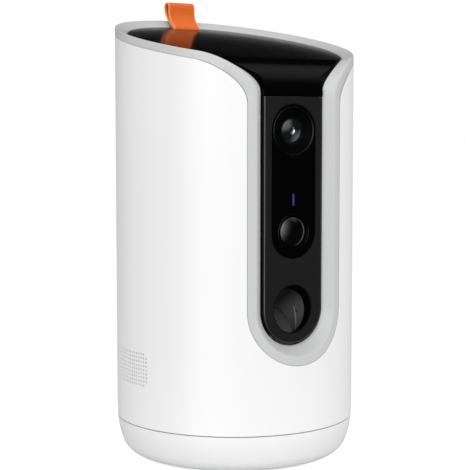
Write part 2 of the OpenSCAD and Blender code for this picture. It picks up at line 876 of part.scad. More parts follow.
// folded orange tab that lifts the lid
module pull_tab() {
    face_z = rim_z(tab_f, lid_drop);
    tail_z = rim_z(tab_f - tab_foot_t / 2, liner_drop + liner_t);
    bar_h = rim_z(tab_f + tab_foot_t / 2, liner_drop) - tail_z;
    bend_r = 2.6;
    top = [tab_f - tab_lean, face_z + tab_h - bend_r];
    foot = [tab_f, face_z + 0.3];
    color("darkorange") {
        across(tab_w) difference() {
            drop_outline(foot, top, tab_t, bend_r);
            drop_outline(foot + (top - foot) * 0.3, top, 0.15, bend_r - tab_t);
        }
        across(tab_w) translate([foot.x - tab_foot_t / 2, tail_z]) square([tab_foot_t, bar_h]);
        across(tab_w) translate([foot.x - tab_t, tail_z]) square([2 * tab_t, foot.y - tail_z]);
    }
}

// teardrop from a narrow foot to a round top
module drop_outline(foot, top, foot_half, r) {
    along = (top - foot) / norm(top - foot);
    aside = [-along.y, along.x];
    translate(top) circle(r);
    polygon([foot - aside * foot_half, foot + aside * foot_half, top + aside * r, top - aside * r]);
}

// bin for the treats, with a flange that carries the seal and a ledge over the camera bay
module treat_hopper() {
    color("#d8d8d8") difference() {
        union() {
            intersection() {
                d_block(hopper_r, hopper_f, hopper_floor, body_h);
                slanted_slab(hopper_drop, body_d * 2);
            }
            intersection() {
                d_block(rim_r, hopper_f + 0.2, hopper_floor, body_h);
                slanted_slab(hopper_drop, hopper_drop + 3);
            }
            intersection() {
                post(0, 0, ledge_z, ledge_z + ledge_t, lid_r);
                front_box(body_r, hopper_f - 1, face_back - 0.6, ledge_z - 1, ledge_z + ledge_t + 1);
            }
            at_posts() {
                translate([0, 0, hopper_floor]) cylinder(h = hopper_floor_t, r = post_d / 2);
                translate([hopper_r - post_r - 2, -post_d / 2, hopper_floor])
                    cube([post_r - hopper_r + 2, post_d, hopper_floor_t]);
            }
        }
        d_block(hopper_r - hopper_t, hopper_f - hopper_t, hopper_floor + hopper_floor_t, body_h + 10);
        intersection() {
            post(0, rotor_f, hopper_floor - 1, hopper_floor + 9, rotor_r - 3);
            front_box(rotor_r, -body_r, drop_f - drop_d / 2 - 3, hopper_floor - 2, hopper_floor + 10);
        }
        at_posts() translate([0, 0, hopper_floor - 1]) cylinder(h = 10, r = small_clear);
        at_feed_screws() cylinder(h = 2.2, r = small_bore);
    }
}

// screws that hold the hopper on its posts
module hopper_screws() {
    color("silver") at_posts() translate([0, 0, hopper_floor + hopper_floor_t]) screw(10, small_d);
}

// children placed on the feed housing ears, at the hopper floor
module at_feed_screws() {
    for (a = [0, 120, 240]) translate([0, -rotor_f, hopper_floor - 0.01])
        rotate(a + 90) translate([well_r + well_t + 3, 0, 0]) children();
}

// round well under the hopper in which the rotor turns
module feed_housing() {
    top = hopper_floor - seat_gap;
    color("#3a3a3c") difference() {
        union() {
            post(0, rotor_f, well_z, top, well_r + well_t);
            at_feed_screws() translate([0, 0, -3 - seat_gap]) {
                cylinder(h = 3, r = 3.2);
                translate([-5, -3.2, 0]) cube([5, 6.4, 3]);
            }
            for (p = plate_posts) post(p.x, p.y, plate_top + seat_gap, well_z + 1, 3);
        }
        post(0, rotor_f, well_top, top + 1, well_r);
        post(0, drop_f, well_z - 1, well_top + 1, drop_d / 2);
        post(0, rotor_f, well_z - 1, well_top + 1, shaft_r + run_fit);
        at_feed_screws() translate([0, 0, -4]) cylinder(h = 8, r = small_clear);
        for (p = plate_posts) post(p.x, p.y, plate_top - 1, well_z - 3, small_bore);
    }
}

// screws that hold the feed housing under the hopper
module feed_screws() {
    color("silver") at_feed_screws() translate([0, 0, -3 - seat_gap]) rotate([180, 0, 0]) screw(5, small_d);
}

// rotor that carries treats round to the drop
module feed_rotor() {
    cone_r = pocket_at - pocket_d / 2 - cone_rim;
    cone_h = rotor_h / 2;
    color("#c8c8c8") difference() {
        union() {
            post(0, rotor_f, rotor_z, rotor_z + rotor_h, rotor_r);
            translate([0, -rotor_f, rotor_z + rotor_h]) cylinder(h = cone_h, r1 = cone_r, r2 = cone_r / 3);
        }
        for (k = [0:pockets - 1]) translate([0, -rotor_f, rotor_z - 1])
            rotate(k * 360 / pockets - 90) translate([pocket_at, 0, 0])
                cylinder(h = rotor_h + 2, r = pocket_d / 2);
        post(0, rotor_f, rotor_z - 1, rotor_z + rotor_h - 2, shaft_r + 0.02);
    }
}

// shaft from the feed gear up into the rotor
module feed_shaft() {
    color("silver") post(0, rotor_f, plate_z + 0.3, rotor_z + rotor_h - 2.2, shaft_r);
}

// gear under the feed housing
module feed_gear() {
    color("ivory") translate([0, -rotor_f, gear_z]) difference() {
        linear_extrude(gear_h) rotate(90)
            polygon(gear_points(feed_teeth, feed_teeth, feed_module, feed_tip, feed_play));
        translate([0, 0, -1]) cylinder(h = gear_h + 2, r = shaft_r + 0.02);
    }
}

// motor pinion with its shaft
module feed_pinion() {
    color("gold") translate([0, -feed_motor_f, 0]) {
        translate([0, 0, gear_z - 0.5]) linear_extrude(gear_h + 1) rotate(-90 + 180 / feed_pinion_teeth)
            polygon(gear_points(feed_pinion_teeth, feed_pinion_teeth, feed_module, feed_tip, feed_play));
        translate([0, 0, plate_z - motor_shaft_l])
            cylinder(h = gear_z - plate_z + motor_shaft_l, r = motor_shaft_r);
    }
}

// motor that turns the feed, hung under its plate
module feed_motor() {
    color("lightgray") difference() {
        union() {
            post(0, feed_motor_f, plate_z - seat_gap - feed_motor_l, plate_z - seat_gap, feed_motor_d / 2);
            post(0, feed_motor_f, plate_z - seat_gap - feed_motor_l - 2, plate_z, motor_nose_r);
        }
        post(0, feed_motor_f, plate_z - motor_shaft_l - 0.5, plate_z + 1, motor_shaft_r + run_fit);
        for (x = [-motor_bolt_x, motor_bolt_x])
            post(x, feed_motor_f, plate_z - motor_shaft_l, plate_z + 1, 1 + run_fit);
    }
}

// plate that carries the feed motor and the lower end of the shaft
module drive_plate() {
    color("#3a3a3c") difference() {
        front_box(plate_x, plate_f1, plate_f2, plate_z, plate_top);
        post(0, rotor_f, plate_z - 1, plate_top + 1, shaft_r + run_fit);
        post(0, feed_motor_f, plate_z - 1, plate_top + 1, motor_nose_r + 0.2);
        for (x = [-motor_bolt_x, motor_bolt_x]) post(x, feed_motor_f, plate_z - 1, plate_top + 1, 1.15);
        for (p = plate_posts) post(p.x, p.y, plate_z - 1, plate_top + 1, small_clear);
    }
}

// screws that hold the plate and the feed motor
module plate_screws() {
    color("silver") {
        for (p = plate_posts) translate([p.x, -p.y, plate_z])
            rotate([180, 0, 0]) screw(plate_t + 6, small_d);
        for (x = [-motor_bolt_x, motor_bolt_x])
            translate([x, -feed_motor_f, plate_top]) screw(plate_t + 4, 2);
    }
}

// slanted bore from the outlet down into the thrower
module launch_bore(r) {
    reach = body_r / 2;
    translate([0, -panel_f, outlet_z]) rotate([225, 0, 0]) translate([0, 0, -reach])
        cylinder(h = 2 * reach + 2, r = r);
}

// thrower housing with the slanted tube and the drop chute
module launch_tube() {
    out_x = chamber_x + chamber_t;
    low = chamber_z1 - chamber_t;
    color("#4a4a4c") difference() {
        union() {
            front_box(out_x, chamber_f1 - chamber_t, tube_f, low, chamber_z2 + chamber_t);
            front_box(out_x, tube_f - 1, chamber_f2 + chamber_t, low, chamber_mid);
            intersection() {
                launch_bore(outlet_r + tube_t);
                front_box(body_r, pivot_f - 12, tube_f, chamber_mid, outlet_z + 20);
            }
            post(0, drop_f, chamber_z2, well_z - seat_gap, drop_d / 2 + chute_t);
            for (x = [-1, 1], f = [chamber_f1, pivot_f - 7]) translate([x * (out_x - 2), 0, 0])
                front_box(2, f - chamber_t, f + 3, deck_top + seat_gap, chamber_z1);
        }
        front_box(chamber_x, chamber_f1, chamber_f2, chamber_z1, chamber_mid);
        front_box(chamber_x, chamber_f1, pivot_f - 7.5, chamber_z1, chamber_z2);
        intersection() {
            launch_bore(outlet_r);
            front_box(body_r, chamber_f1, body_r, chamber_z1, outlet_z + 20);
        }
        post(0, drop_f, chamber_z2 - 1, well_z + 1, drop_d / 2);
        side_rod(-body_r, body_r, pivot_f, pivot_z, shaft_r + run_fit);
    }
}

// arm that throws the treats
module throw_paddle() {
    half = chamber_x - 1;
    color("#77777a") difference() {
        union() {
            front_box(half, pivot_f - arm_l, pivot_f, pivot_z - 1.2, pivot_z + 1.2);
            side_rod(-half, half, pivot_f, pivot_z, hub_r);
        }
        side_rod(-half - 1, half + 1, pivot_f, pivot_z, shaft_r + 0.02);
    }
}

// shaft of the paddle
module paddle_shaft() {
    reach = sector_x + sector_t;
    color("silver") side_rod(-reach - 1.5, reach + 0.5, pivot_f, pivot_z, shaft_r);
}

// toothed sector that winds the paddle
module throw_sector() {
    teeth_span = throw_swing + 25;
    used = ceil(teeth_span * sector_teeth / 360);
    outline = gear_points(sector_teeth, sector_teeth, throw_module, throw_tip, throw_play);
    color("ivory") translate([sector_x, -pivot_f, pivot_z]) rotate([90, 0, 90]) difference() {
        union() {
            intersection() {
                linear_extrude(sector_t) rotate(-360 / sector_teeth * (used - 2)) polygon(outline);
                linear_extrude(sector_t) polygon([
                    [0, 0], polar(2 * sector_r, 14), polar(2 * sector_r, 14 - teeth_span)
                ]);
            }
            cylinder(h = sector_t, r = hub_r + 1.5);
        }
        translate([0, 0, -1]) cylinder(h = sector_t + 2, r = shaft_r + 0.02);
    }
}

// pinion of the throw motor with its shaft
module throw_pinion() {
    teeth = throw_pinion_teeth;
    color("gold") translate([sector_x, -throw_motor_f, pivot_z]) rotate([90, 0, 90]) {
        linear_extrude(sector_t) rotate(180 + 180 / teeth)
            polygon(gear_points(teeth, teeth, throw_module, throw_tip, throw_play));
        cylinder(h = motor_x - sector_x + 6, r = motor_shaft_r);
    }
}

// motor that winds the thrower
module throw_motor() {
    color("lightgray") difference() {
        union() {
            side_rod(motor_x, motor_x + throw_motor_l, throw_motor_f, pivot_z, throw_motor_d / 2);
            side_rod(motor_x - 1.5, motor_x + 1, throw_motor_f, pivot_z, 4);
        }
        side_rod(motor_x - 2, motor_x + 6.5, throw_motor_f, pivot_z, motor_shaft_r + run_fit);
    }
}

// close-wound spring on the paddle shaft
module throw_spring() {
    turns = 5;
    coil_r = shaft_r + 0.5 + spring_wire / 2;
    pitch = spring_wire * 0.9;
    start = -chamber_x - chamber_t - 0.4 - spring_wire / 2;
    color("silver") translate([start, -pivot_f, pivot_z]) rotate([0, -90, 0])
        rotate_extrude() for (k = [0:turns - 1])
            translate([coil_r, k * pitch]) circle(spring_wire / 2, $fn = 24);
}

// main circuit board in the base
module main_board() {
    color("darkgreen") difference() {
        front_box(board_x, -board_y, board_y, board_z, board_z + board_t);
        for (p = board_posts) post(p.x, p.y, board_z - 1, board_z + board_t + 1, small_clear);
    }
}

// chips and cans on the main board
module board_chips() {
    top = board_z + board_t;
    color("#383838") {
        front_box(7, -6, 8, top, top + 1.6);
        translate([17, 0, 0]) front_box(5, -10, 4, top, top + 2.4);
        translate([-16, 0, 0]) front_box(6, 2, 12, top, top + 1.2);
        for (x = [-20, -12]) post(x, -14, top, top + 8, 3);
    }
}

// screws of the main board
module board_screws() {
    color("silver") for (p = board_posts) translate([p.x, -p.y, board_z + board_t])
        screw(board_t + 5, small_d);
}

// upright board behind the power inlet
module inlet_board() {
    right = button_x + 5;
    left = socket_w / 2 + 7.5;
    low = cup_z(norm([right, inlet_back])) + seat_gap;
    top = inlet_z + 2.4;
    color("darkgreen") translate([-left, inlet_back - board_t, low])
        cube([left + right, board_t, top - low]);
}

// power inlet
module power_socket() {
    half = socket_w / 2;
    r = socket_h / 2;
    tip = sqrt(inner_r * inner_r - half * half) - 0.3;
    color("silver") difference() {
        union() {
            for (x = [r - half, half - r]) front_rod(x, inlet_z, -tip, -inlet_back, r);
            front_box(half - r, -tip, -inlet_back, inlet_z - r, inlet_z + r);
        }
        difference() {
            front_box(half - 0.6, -tip - 1, -tip + 6.5, inlet_z - r + 0.4, inlet_z + r - 0.4);
            front_box(half - 1.4, -tip, -tip + 7, inlet_z - 0.35, inlet_z + 0.35);
        }
    }
}

// switch behind the reset button
module reset_switch() {
    half = 2.4;
    color("#282828") {
        translate([button_x, 0, 0])
            front_box(half, -inlet_back - 2, -inlet_back, inlet_z - half, inlet_z + half);
        front_rod(button_x, inlet_z, -button_stop + 1.2 + button_travel, -inlet_back - 1, 1.2);
    }
}

// push button beside the power inlet
module reset_button() {
    color("#e8e8e8") {
        front_rod(button_x, inlet_z, -button_face, -button_stop + 0.5, button_d / 2);
        front_rod(button_x, inlet_z, -button_stop, -button_stop + 1, button_flange_d / 2);
    }
}

// ring that seats the speaker on the housing wall
module speaker_cup() {
    color("#303030") difference() {
        intersection() {
            side_rod(-body_r, -inner_r + speaker_depth, 0, grille_z, speaker_r);
            post(0, 0, 0, body_h, inner_r - seat_gap);
        }
        side_rod(-body_r - 1, -inner_r + speaker_depth + 1, 0, grille_z, speaker_r - speaker_ring_t);
    }
}

// speaker with its cone and magnet
module speaker() {
    face = -inner_r + 5;
    r = speaker_r - speaker_ring_t - seat_gap;
    color("#222222") difference() {
        union() {
            side_rod(face, face + 4, 0, grille_z, r);
            side_rod(face + 3, face + 10, 0, grille_z, r - 4);
        }
        translate([face - 0.01, 0, grille_z]) rotate([0, 90, 0]) cylinder(h = 3, r1 = r - 1.2, r2 = 3);
    }
}

outer_shell();
base_cup();
foot_ring();
base_screws();
rim_trim();
chassis();
deck_screws();
front_panel();
panel_screws();
sensor_window();
lens_ring();
camera_lens();
lens_barrel();
lens_holder();
camera_board();
infrared_leds();
status_light();
pir_ring();
pir_lens();
pir_sensor();
sensor_board();
lid_panel();
lid_liner();
lid_seal();
pull_tab();
treat_hopper();
hopper_screws();
feed_housing();
feed_screws();
feed_rotor();
feed_shaft();
feed_gear();
feed_pinion();
feed_motor();
drive_plate();
plate_screws();
launch_tube();
throw_paddle();
paddle_shaft();
throw_sector();
throw_pinion();
throw_motor();
throw_spring();
main_board();
board_chips();
board_screws();
inlet_board();
power_socket();
reset_switch();
reset_button();
speaker_cup();
speaker();
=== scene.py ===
"""Looks of the treat-tossing pet camera: rounded trim, lid, front, glass and ribbon, with their finishes."""
import math

import bmesh
import bpy
from mathutils import Matrix, Vector


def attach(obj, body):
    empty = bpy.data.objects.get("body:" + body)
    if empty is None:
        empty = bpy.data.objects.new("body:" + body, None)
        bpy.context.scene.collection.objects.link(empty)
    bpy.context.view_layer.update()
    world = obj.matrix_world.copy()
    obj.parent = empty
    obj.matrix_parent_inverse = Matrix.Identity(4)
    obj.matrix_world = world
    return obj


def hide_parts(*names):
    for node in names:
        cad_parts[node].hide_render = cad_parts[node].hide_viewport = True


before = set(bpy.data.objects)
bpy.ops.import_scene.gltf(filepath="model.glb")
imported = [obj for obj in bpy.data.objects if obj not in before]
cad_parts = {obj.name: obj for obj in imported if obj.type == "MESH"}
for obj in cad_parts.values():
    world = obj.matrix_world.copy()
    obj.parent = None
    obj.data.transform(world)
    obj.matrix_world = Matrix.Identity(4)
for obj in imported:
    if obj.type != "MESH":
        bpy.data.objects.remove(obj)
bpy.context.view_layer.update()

# Sizes in millimetres. "f" is a distance in front of the body's axis, so y is -f.
MM = 0.001
MICRON = 0.000001

# Body and trim
BODY_R = 60.0
BODY_H = 223.2
TILT = math.radians(12.5)
STEEP = math.pi / 2 - TILT
SLOPE = math.tan(TILT)
TRIM_BAND = 4.1
TRIM_BEVEL = 4.85
TRIM_R = 54.0
TRIM_LIP_R = 57.2
INNER_X = 17.45
INNER_F = math.sqrt(TRIM_R ** 2 - INNER_X ** 2)
EDGE_X = INNER_X + TRIM_BEVEL
EDGE_F = math.sqrt(BODY_R ** 2 - EDGE_X ** 2)
BAND_F = math.sqrt(BODY_R ** 2 - (EDGE_X + TRIM_BAND) ** 2)
RIM_ROUND = 21.0
INNER_ROUND = 17.0

# Lid and ribbon
LID_DROP = 2.8
LID_T = 2.5
LID_R = 53.4
LID_X = 16.9
LID_ROUND = 19.0
LID_GAP = 0.3
LID_EDGE = 0.8
TAB_F = -48.4
TAB_W = 16.0
TAB_H = 14.5
TAB_LEAN = 7.5
TAB_T = 0.9
TAB_BEND = 2.6
TAB_SEAT = 0.3
TAB_SEWN = 4
TAB_EDGE = 0.25

# Outlet, its throat and the launch tube behind it
OUTLET_Z = 78.9
OUTLET_R = 10.9
THROAT_SLOPE = math.tan(math.radians(20.0))
THROAT_END = 2.8
THROAT_TAPER = 0.9
THROAT_WALL = 2.0
MOUTH_R = OUTLET_R * math.hypot(1.0, THROAT_SLOPE)
MOUTH_ROUND = 0.7
CHAMBER_F = 36.0
# Painted light in the launch tube: where its tone starts to climb on the wall and in the chamber, and where it
# ends, in millimetres of X less the height above the outlet's middle.
WALL_LIGHT_START = -6.0
CHAMBER_LIGHT_START = 6.0
PAINTED_LIGHT_END = 19.0
RIB_HIGH, RIB_LOW = math.radians(44.0), math.radians(1.0)
RIB_ALONG = 19.4
RIB_LEAN = 0.26
RIB_R = 0.55
# A small dark stub on the tube's wall: painted shade of a small hole.
HOLE_SHADE_SPOT = (math.radians(31.3), 9.8)
HOLE_SHADE_R = 0.6
HOLE_SHADE_SINK = 0.8
HOLE_SHADE_PROUD = 0.12

# Tongue, with its rear frame and posts
PANEL_X = 16.5
PANEL_F = INNER_F + 1.9
PANEL_T = 2.5
PANEL_ROUND = 0.75
PANEL_TOP = 180.199
FACE_BACK = PANEL_F - PANEL_T
FRAME_DEPTH = 9.2
FRAME_T = 2.5
FRAME_LOW = OUTLET_Z + OUTLET_R + 3.5
FRAME_TOP = PANEL_TOP - 0.2
FLANGE_T = 2.0
FLANGE_W = 9.5
FLANGE_TOP = PANEL_TOP - 2.0

# Window, camera, light and motion sensor
SEAT = 0.1
WINDOW_R = 12.9
WINDOW_T = 1.15
WINDOW_F = PANEL_F - WINDOW_T
LENS_Z = 163.899
LENS_RING_R = 11.4
LENS_R = 6.35
CONE_FOOT = 2.15
CONE_DEPTH = 1.3
CONE_STEPS = 4
ELEMENT_R = 1.7
PIR_Z = 115.9
PIR_R = 7.6
PIR_RIM = 1.1
PIR_SAG = 3.0
PIR_CROWN = PANEL_F + 2.4
LIGHT_Z = 131.2
LIGHT_W = 1.0
LIGHT_H = 5.6
CAMERA_POST = {"x": 10.0, "heights": (LENS_Z - 10.0, LENS_Z + 10.0), "length": 12.5, "r": 1.9}
SENSOR_POST = {"x": 9.0, "heights": (PIR_Z + 12.0, LENS_Z - 24.0), "length": 5.0, "r": 1.7}

# Tolerances in metres
ON_PLANE = 1e-8
DOUBLES = 1e-7
MIRROR_MERGE = 1e-6


def rim_z(f, drop=0.0):
    """Height of the slanted rim plane."""
    return BODY_H - SLOPE * (f + BODY_R) - drop


def place(x, f, z):
    """A point in metres from millimetres and a front distance."""
    return Vector((x * MM, -f * MM, z * MM))


def between(a, b, t):
    """The point or number a share t of the way from a to b."""
    return a + (b - a) * t


def bow(a, corner, b, stops):
    """Points of a curve from a to b that a corner pulls out."""
    return [a.lerp(corner, t).lerp(corner.lerp(b, t), t) for t in stops]


def add_piece(name, bm, finish, body, nodes=(), sharp=35.0, coat=None):
    """Turns a bmesh into a smooth-shaded piece that rides on a body.

    coat is a finish other than its slot's.
    """
    bmesh.ops.remove_doubles(bm, verts=bm.verts, dist=DOUBLES)
    bmesh.ops.recalc_face_normals(bm, faces=bm.faces)
    mesh = bpy.data.meshes.new(name)
    bm.to_mesh(mesh)
    bm.free()
    mesh.shade_smooth()
    mesh.set_sharp_from_angle(angle=math.radians(sharp))
    piece = bpy.data.objects.new(name, mesh)
    bpy.context.scene.collection.objects.link(piece)
    mesh.materials.append(FINISHES[coat or finish])
    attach(piece, body)
    if nodes:
        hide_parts(*nodes)
    return piece


def keep_flat(piece):
    """Shades a plate's flat faces flat, up to its rounded edges."""
    even = piece.modifiers.new("flat", "WEIGHTED_NORMAL")
    even.weight = 100
    even.keep_sharp = True


def thicken(piece, wall, offset, edge, segments, angle):
    """Gives a sheet its wall and rounds its edges."""
    sheet = piece.modifiers.new("wall", "SOLIDIFY")
    sheet.thickness = wall * MM
    sheet.offset = offset
    soft = piece.modifiers.new("edge", "BEVEL")
    soft.width = edge * MM
    soft.segments = segments
    soft.limit_method = "ANGLE"
    soft.angle_limit = math.radians(angle)


def wrap_grid(bm, columns, rows, where):
    """A grid whose crossings go to where(column, row)."""
    made = bmesh.ops.create_grid(bm, x_segments=columns, y_segments=rows, size=0.5)["verts"]
    low = Vector(min(v.co[k] for v in made) for k in range(3))
    high = Vector(max(v.co[k] for v in made) for k in range(3))
    for v in made:
        column = round((v.co.x - low.x) / (high.x - low.x) * columns)
        row = round((v.co.y - low.y) / (high.y - low.y) * rows)
        v.co = where(column, row)


def turned_piece(name, profile, z, finish, nodes=(), steps=96, **look):
    """A housing piece: a profile of (radius, front distance) spun about the front-to-back axis at z."""
    bm = bmesh.new()
    points = [bm.verts.new(place(r, f, z)) for r, f in profile]
    edges = [bm.edges.new(pair) for pair in zip(points, points[1:])]
    bmesh.ops.spin(bm, geom=points + edges, cent=place(0, 0, z), axis=(0, 1, 0),
                   angle=math.tau, steps=steps, use_merge=True, dvec=(0, 0, 0))
    return add_piece(name, bm, finish, "housing", nodes, **look)


def arc(x, z, r, start, end, steps):
    """Points on an arc in the front plane, in degrees from +X."""
    turns = [math.radians(start + (end - start) * k / steps) for k in range(steps + 1)]
    return [(x + r * math.cos(t), z + r * math.sin(t)) for t in turns]


def half_plate(bm, outline, front, depth, rounds):
    """The right half of a plate from its (x, z) outline, with rounded front edges, mirrored to a whole one.

    rounds are (test, radius) pairs: a front edge takes the first radius whose test holds at its middle.
    """
    corners = [bm.verts.new(place(x, front, z)) for x, z in outline]
    face = bm.faces.new(corners)
    made = bmesh.ops.extrude_face_region(bm, geom=[face])["geom"]
    back = [v for v in made if isinstance(v, bmesh.types.BMVert)]
    bmesh.ops.translate(bm, verts=back, vec=(0, depth * MM, 0))
    middle = [f for f in bm.faces if all(abs(v.co.x) < ON_PLANE for v in f.verts)]
    bmesh.ops.delete(bm, geom=middle, context="FACES_ONLY")
    for test, radius in rounds:
        chosen = []
        for edge in bm.edges:
            a, b = (v.co for v in edge.verts)
            on_front = all(abs(p.y + front * MM) < ON_PLANE for p in (a, b))
            on_middle = all(abs(p.x) < ON_PLANE for p in (a, b))
            spot = (a + b) / 2 / MM
            if on_front and not on_middle and test(spot.x, spot.z):
                chosen.append(edge)
        bmesh.ops.bevel(bm, geom=chosen, offset=radius * MM, offset_type="OFFSET", segments=4,
                        profile=0.5, affect="EDGES", material=-1, clamp_overlap=False)
    bmesh.ops.mirror(bm, geom=bm.verts[:] + bm.edges[:] + bm.faces[:], matrix=Matrix.Identity(4),
                     merge_dist=MIRROR_MERGE, axis="X")


def everywhere(x, z):
    """The test of half_plate that every front edge meets."""
    return True


def box(bm, half, f1, f2, z1, z2, x=0.0):
    """A box from its half width, front distances and heights."""
    size = Matrix.Diagonal((2 * half * MM, (f2 - f1) * MM, (z2 - z1) * MM, 1))
    spot = Matrix.Translation(place(x, (f1 + f2) / 2, (z1 + z2) / 2))
    bmesh.ops.create_cube(bm, size=1.0, matrix=spot @ size)


def rod(bm, x, z, f1, f2, r):
    """A round bar that runs front to back."""
    spot = Matrix.Translation(place(x, (f1 + f2) / 2, z)) @ Matrix.Rotation(math.pi / 2, 4, "X")
    bmesh.ops.create_cone(bm, cap_ends=True, segments=32, radius1=r * MM, radius2=r * MM,
                          depth=(f2 - f1) * MM, matrix=spot)


# Node helpers

COLOUR = "NodeSocketColor"
VALUE = "NodeSocketFloat"


def node(tree, kind, inputs=None, **settings):
    """A shader node with its settings, values and links."""
    made = tree.nodes.new(kind)
    for key, value in settings.items():
        setattr(made, key, value)
    for key, value in (inputs or {}).items():
        if isinstance(value, bpy.types.NodeSocket):
            tree.links.new(value, made.inputs[key])
        else:
            made.inputs[key].default_value = value
    return made


def maths(tree, operation, *values, clamp=False):
    """The result of a sum."""
    return node(tree, "ShaderNodeMath", dict(enumerate(values)), operation=operation,
                use_clamp=clamp).outputs[0]


def ramp(tree, value, start, end, low=0.0, high=1.0, curve="LINEAR"):
    """A value that goes from low to high as another goes from start to end."""
    reach = {"Value": value, "From Min": start, "From Max": end, "To Min": low, "To Max": high}
    return node(tree, "ShaderNodeMapRange", reach, interpolation_type=curve).outputs[0]


def blend(tree, share, first, second, kind="RGBA"):
    """A mix of two colours, or of two values where kind is FLOAT."""
    return node(tree, "ShaderNodeMix", {"Factor": share, "A": first, "B": second},
                data_type=kind).outputs["Result"]


def noise(tree, spot, scale, **values):
    """A noise pattern."""
    return node(tree, "ShaderNodeTexNoise", {"Vector": spot, "Scale": scale, **values}).outputs["Fac"]


def darker(tree, colour, shade):
    """A colour times a shade."""
    return node(tree, "ShaderNodeVectorMath", {0: colour, "Scale": shade},
                operation="SCALE").outputs["Vector"]


def along(tree, direction, axis):
    """How far a direction lies along an axis."""
    return node(tree, "ShaderNodeVectorMath", {0: direction, 1: axis},
                operation="DOT_PRODUCT").outputs["Value"]


def relief(tree, height, depth, strength=0.5):
    """The normal of a relief of some microns."""
    return node(tree, "ShaderNodeBump", {"Height": height, "Distance": depth * MICRON,
                                         "Strength": strength}).outputs["Normal"]


def object_spot(tree):
    """The place on the object."""
    return node(tree, "ShaderNodeTexCoord").outputs["Object"]


def split(tree, vector):
    """The X, Y and Z of a vector."""
    return node(tree, "ShaderNodeSeparateXYZ", {"Vector": vector}).outputs


def feed(tree, target, **links):
    """Links outputs to a node's inputs; keyword names use _ for spaces."""
    for key, value in links.items():
        tree.links.new(value, target.inputs[key.replace("_", " ")])


def group(name, inputs):
    """An empty group for a surface, with named inputs and its colour, roughness and height as outputs."""
    tree = bpy.data.node_groups.new(name, "ShaderNodeTree")
    for label, kind, value in inputs:
        tree.interface.new_socket(label, in_out="INPUT", socket_type=kind).default_value = value
    for label, kind in (("Colour", COLOUR), ("Roughness", VALUE), ("Height", VALUE)):
        tree.interface.new_socket(label, in_out="OUTPUT", socket_type=kind)
    return tree, tree.nodes.new("NodeGroupInput").outputs, tree.nodes.new("NodeGroupOutput")


def moulded_group():
    """Moulded plastic: slow tone drift, uneven gloss and a fine spark-eroded grain."""
    tree, given, result = group("moulded_surface", [
        ("Colour", COLOUR, (0.8, 0.8, 0.8, 1)), ("Shade", VALUE, 0.96), ("Gloss", VALUE, 0.35),
        ("Spread", VALUE, 0.08), ("Grain", VALUE, 2600.0)])
    spot = object_spot(tree)
    drift = noise(tree, spot, 28.0, Detail=3.0, Roughness=0.5)
    flow = noise(tree, spot, 160.0, Detail=4.0, Roughness=0.6)
    grain = noise(tree, spot, given["Grain"], Detail=2.0)
    tone = blend(tree, drift, given["Colour"], darker(tree, given["Colour"], given["Shade"]))
    uneven = maths(tree, "SUBTRACT", flow, 0.5)
    gloss = maths(tree, "MULTIPLY_ADD", uneven, given["Spread"], given["Gloss"], clamp=True)
    feed(tree, result, Colour=tone, Roughness=gloss, Height=grain)
    return tree


def drawn_metal_group():
    """Drawn or rolled metal: streaks along one direction."""
    tree, given, result = group("drawn_metal", [
        ("Colour", COLOUR, (0.6, 0.6, 0.6, 1)), ("Shade", VALUE, 0.8), ("Gloss", VALUE, 0.3)])
    drawn = node(tree, "ShaderNodeMapping", {"Vector": object_spot(tree), "Scale": (3000.0, 3000.0, 120.0)})
    streak = noise(tree, drawn.outputs[0], 1.0, Detail=3.0)
    tone = blend(tree, streak, given["Colour"], darker(tree, given["Colour"], given["Shade"]))
    gloss = maths(tree, "MULTIPLY_ADD", streak, 0.2, given["Gloss"], clamp=True)
    feed(tree, result, Colour=tone, Roughness=gloss, Height=streak)
    return tree


# Finishes

MOULDED = moulded_group()
DRAWN_METAL = drawn_metal_group()


def new_finish(name, **sockets):
    """A material with its Principled shader; keyword names use _ for spaces."""
    material = bpy.data.materials.new(name)
    material.use_nodes = True
    shader = material.node_tree.nodes["Principled BSDF"]
    for key, value in sockets.items():
        shader.inputs[key.replace("_", " ")].default_value = value
    return material, material.node_tree, shader


def moulded(tree, colour, gloss, spread=0.08, shade=0.96, grain=2600.0):
    """The moulded surface with its own values."""
    values = {"Colour": colour, "Shade": shade, "Gloss": gloss, "Spread": spread, "Grain": grain}
    return node(tree, "ShaderNodeGroup", values, node_tree=MOULDED).outputs


def dress(tree, shader, surface, depth):
    """Feeds colour, gloss and relief from a surface group into the shader."""
    feed(tree, shader, Base_Color=surface["Colour"], Roughness=surface["Roughness"],
         Normal=relief(tree, surface["Height"], depth))


def plastic(name, colour, gloss, spread=0.08, shade=0.96, grain=2600.0, depth=20, **sockets):
    """A moulded plastic or rubber finish; depth is its grain's, in microns."""
    material, tree, shader = new_finish(name, **sockets)
    dress(tree, shader, moulded(tree, (*colour, 1), gloss, spread, shade, grain), depth)
    return material


def metal(name, colour, gloss):
    """A bare metal finish."""
    material, tree, shader = new_finish(name, Metallic=1.0)
    values = {"Colour": (*colour, 1), "Gloss": gloss}
    dress(tree, shader, node(tree, "ShaderNodeGroup", values, node_tree=DRAWN_METAL).outputs, 10)
    return material


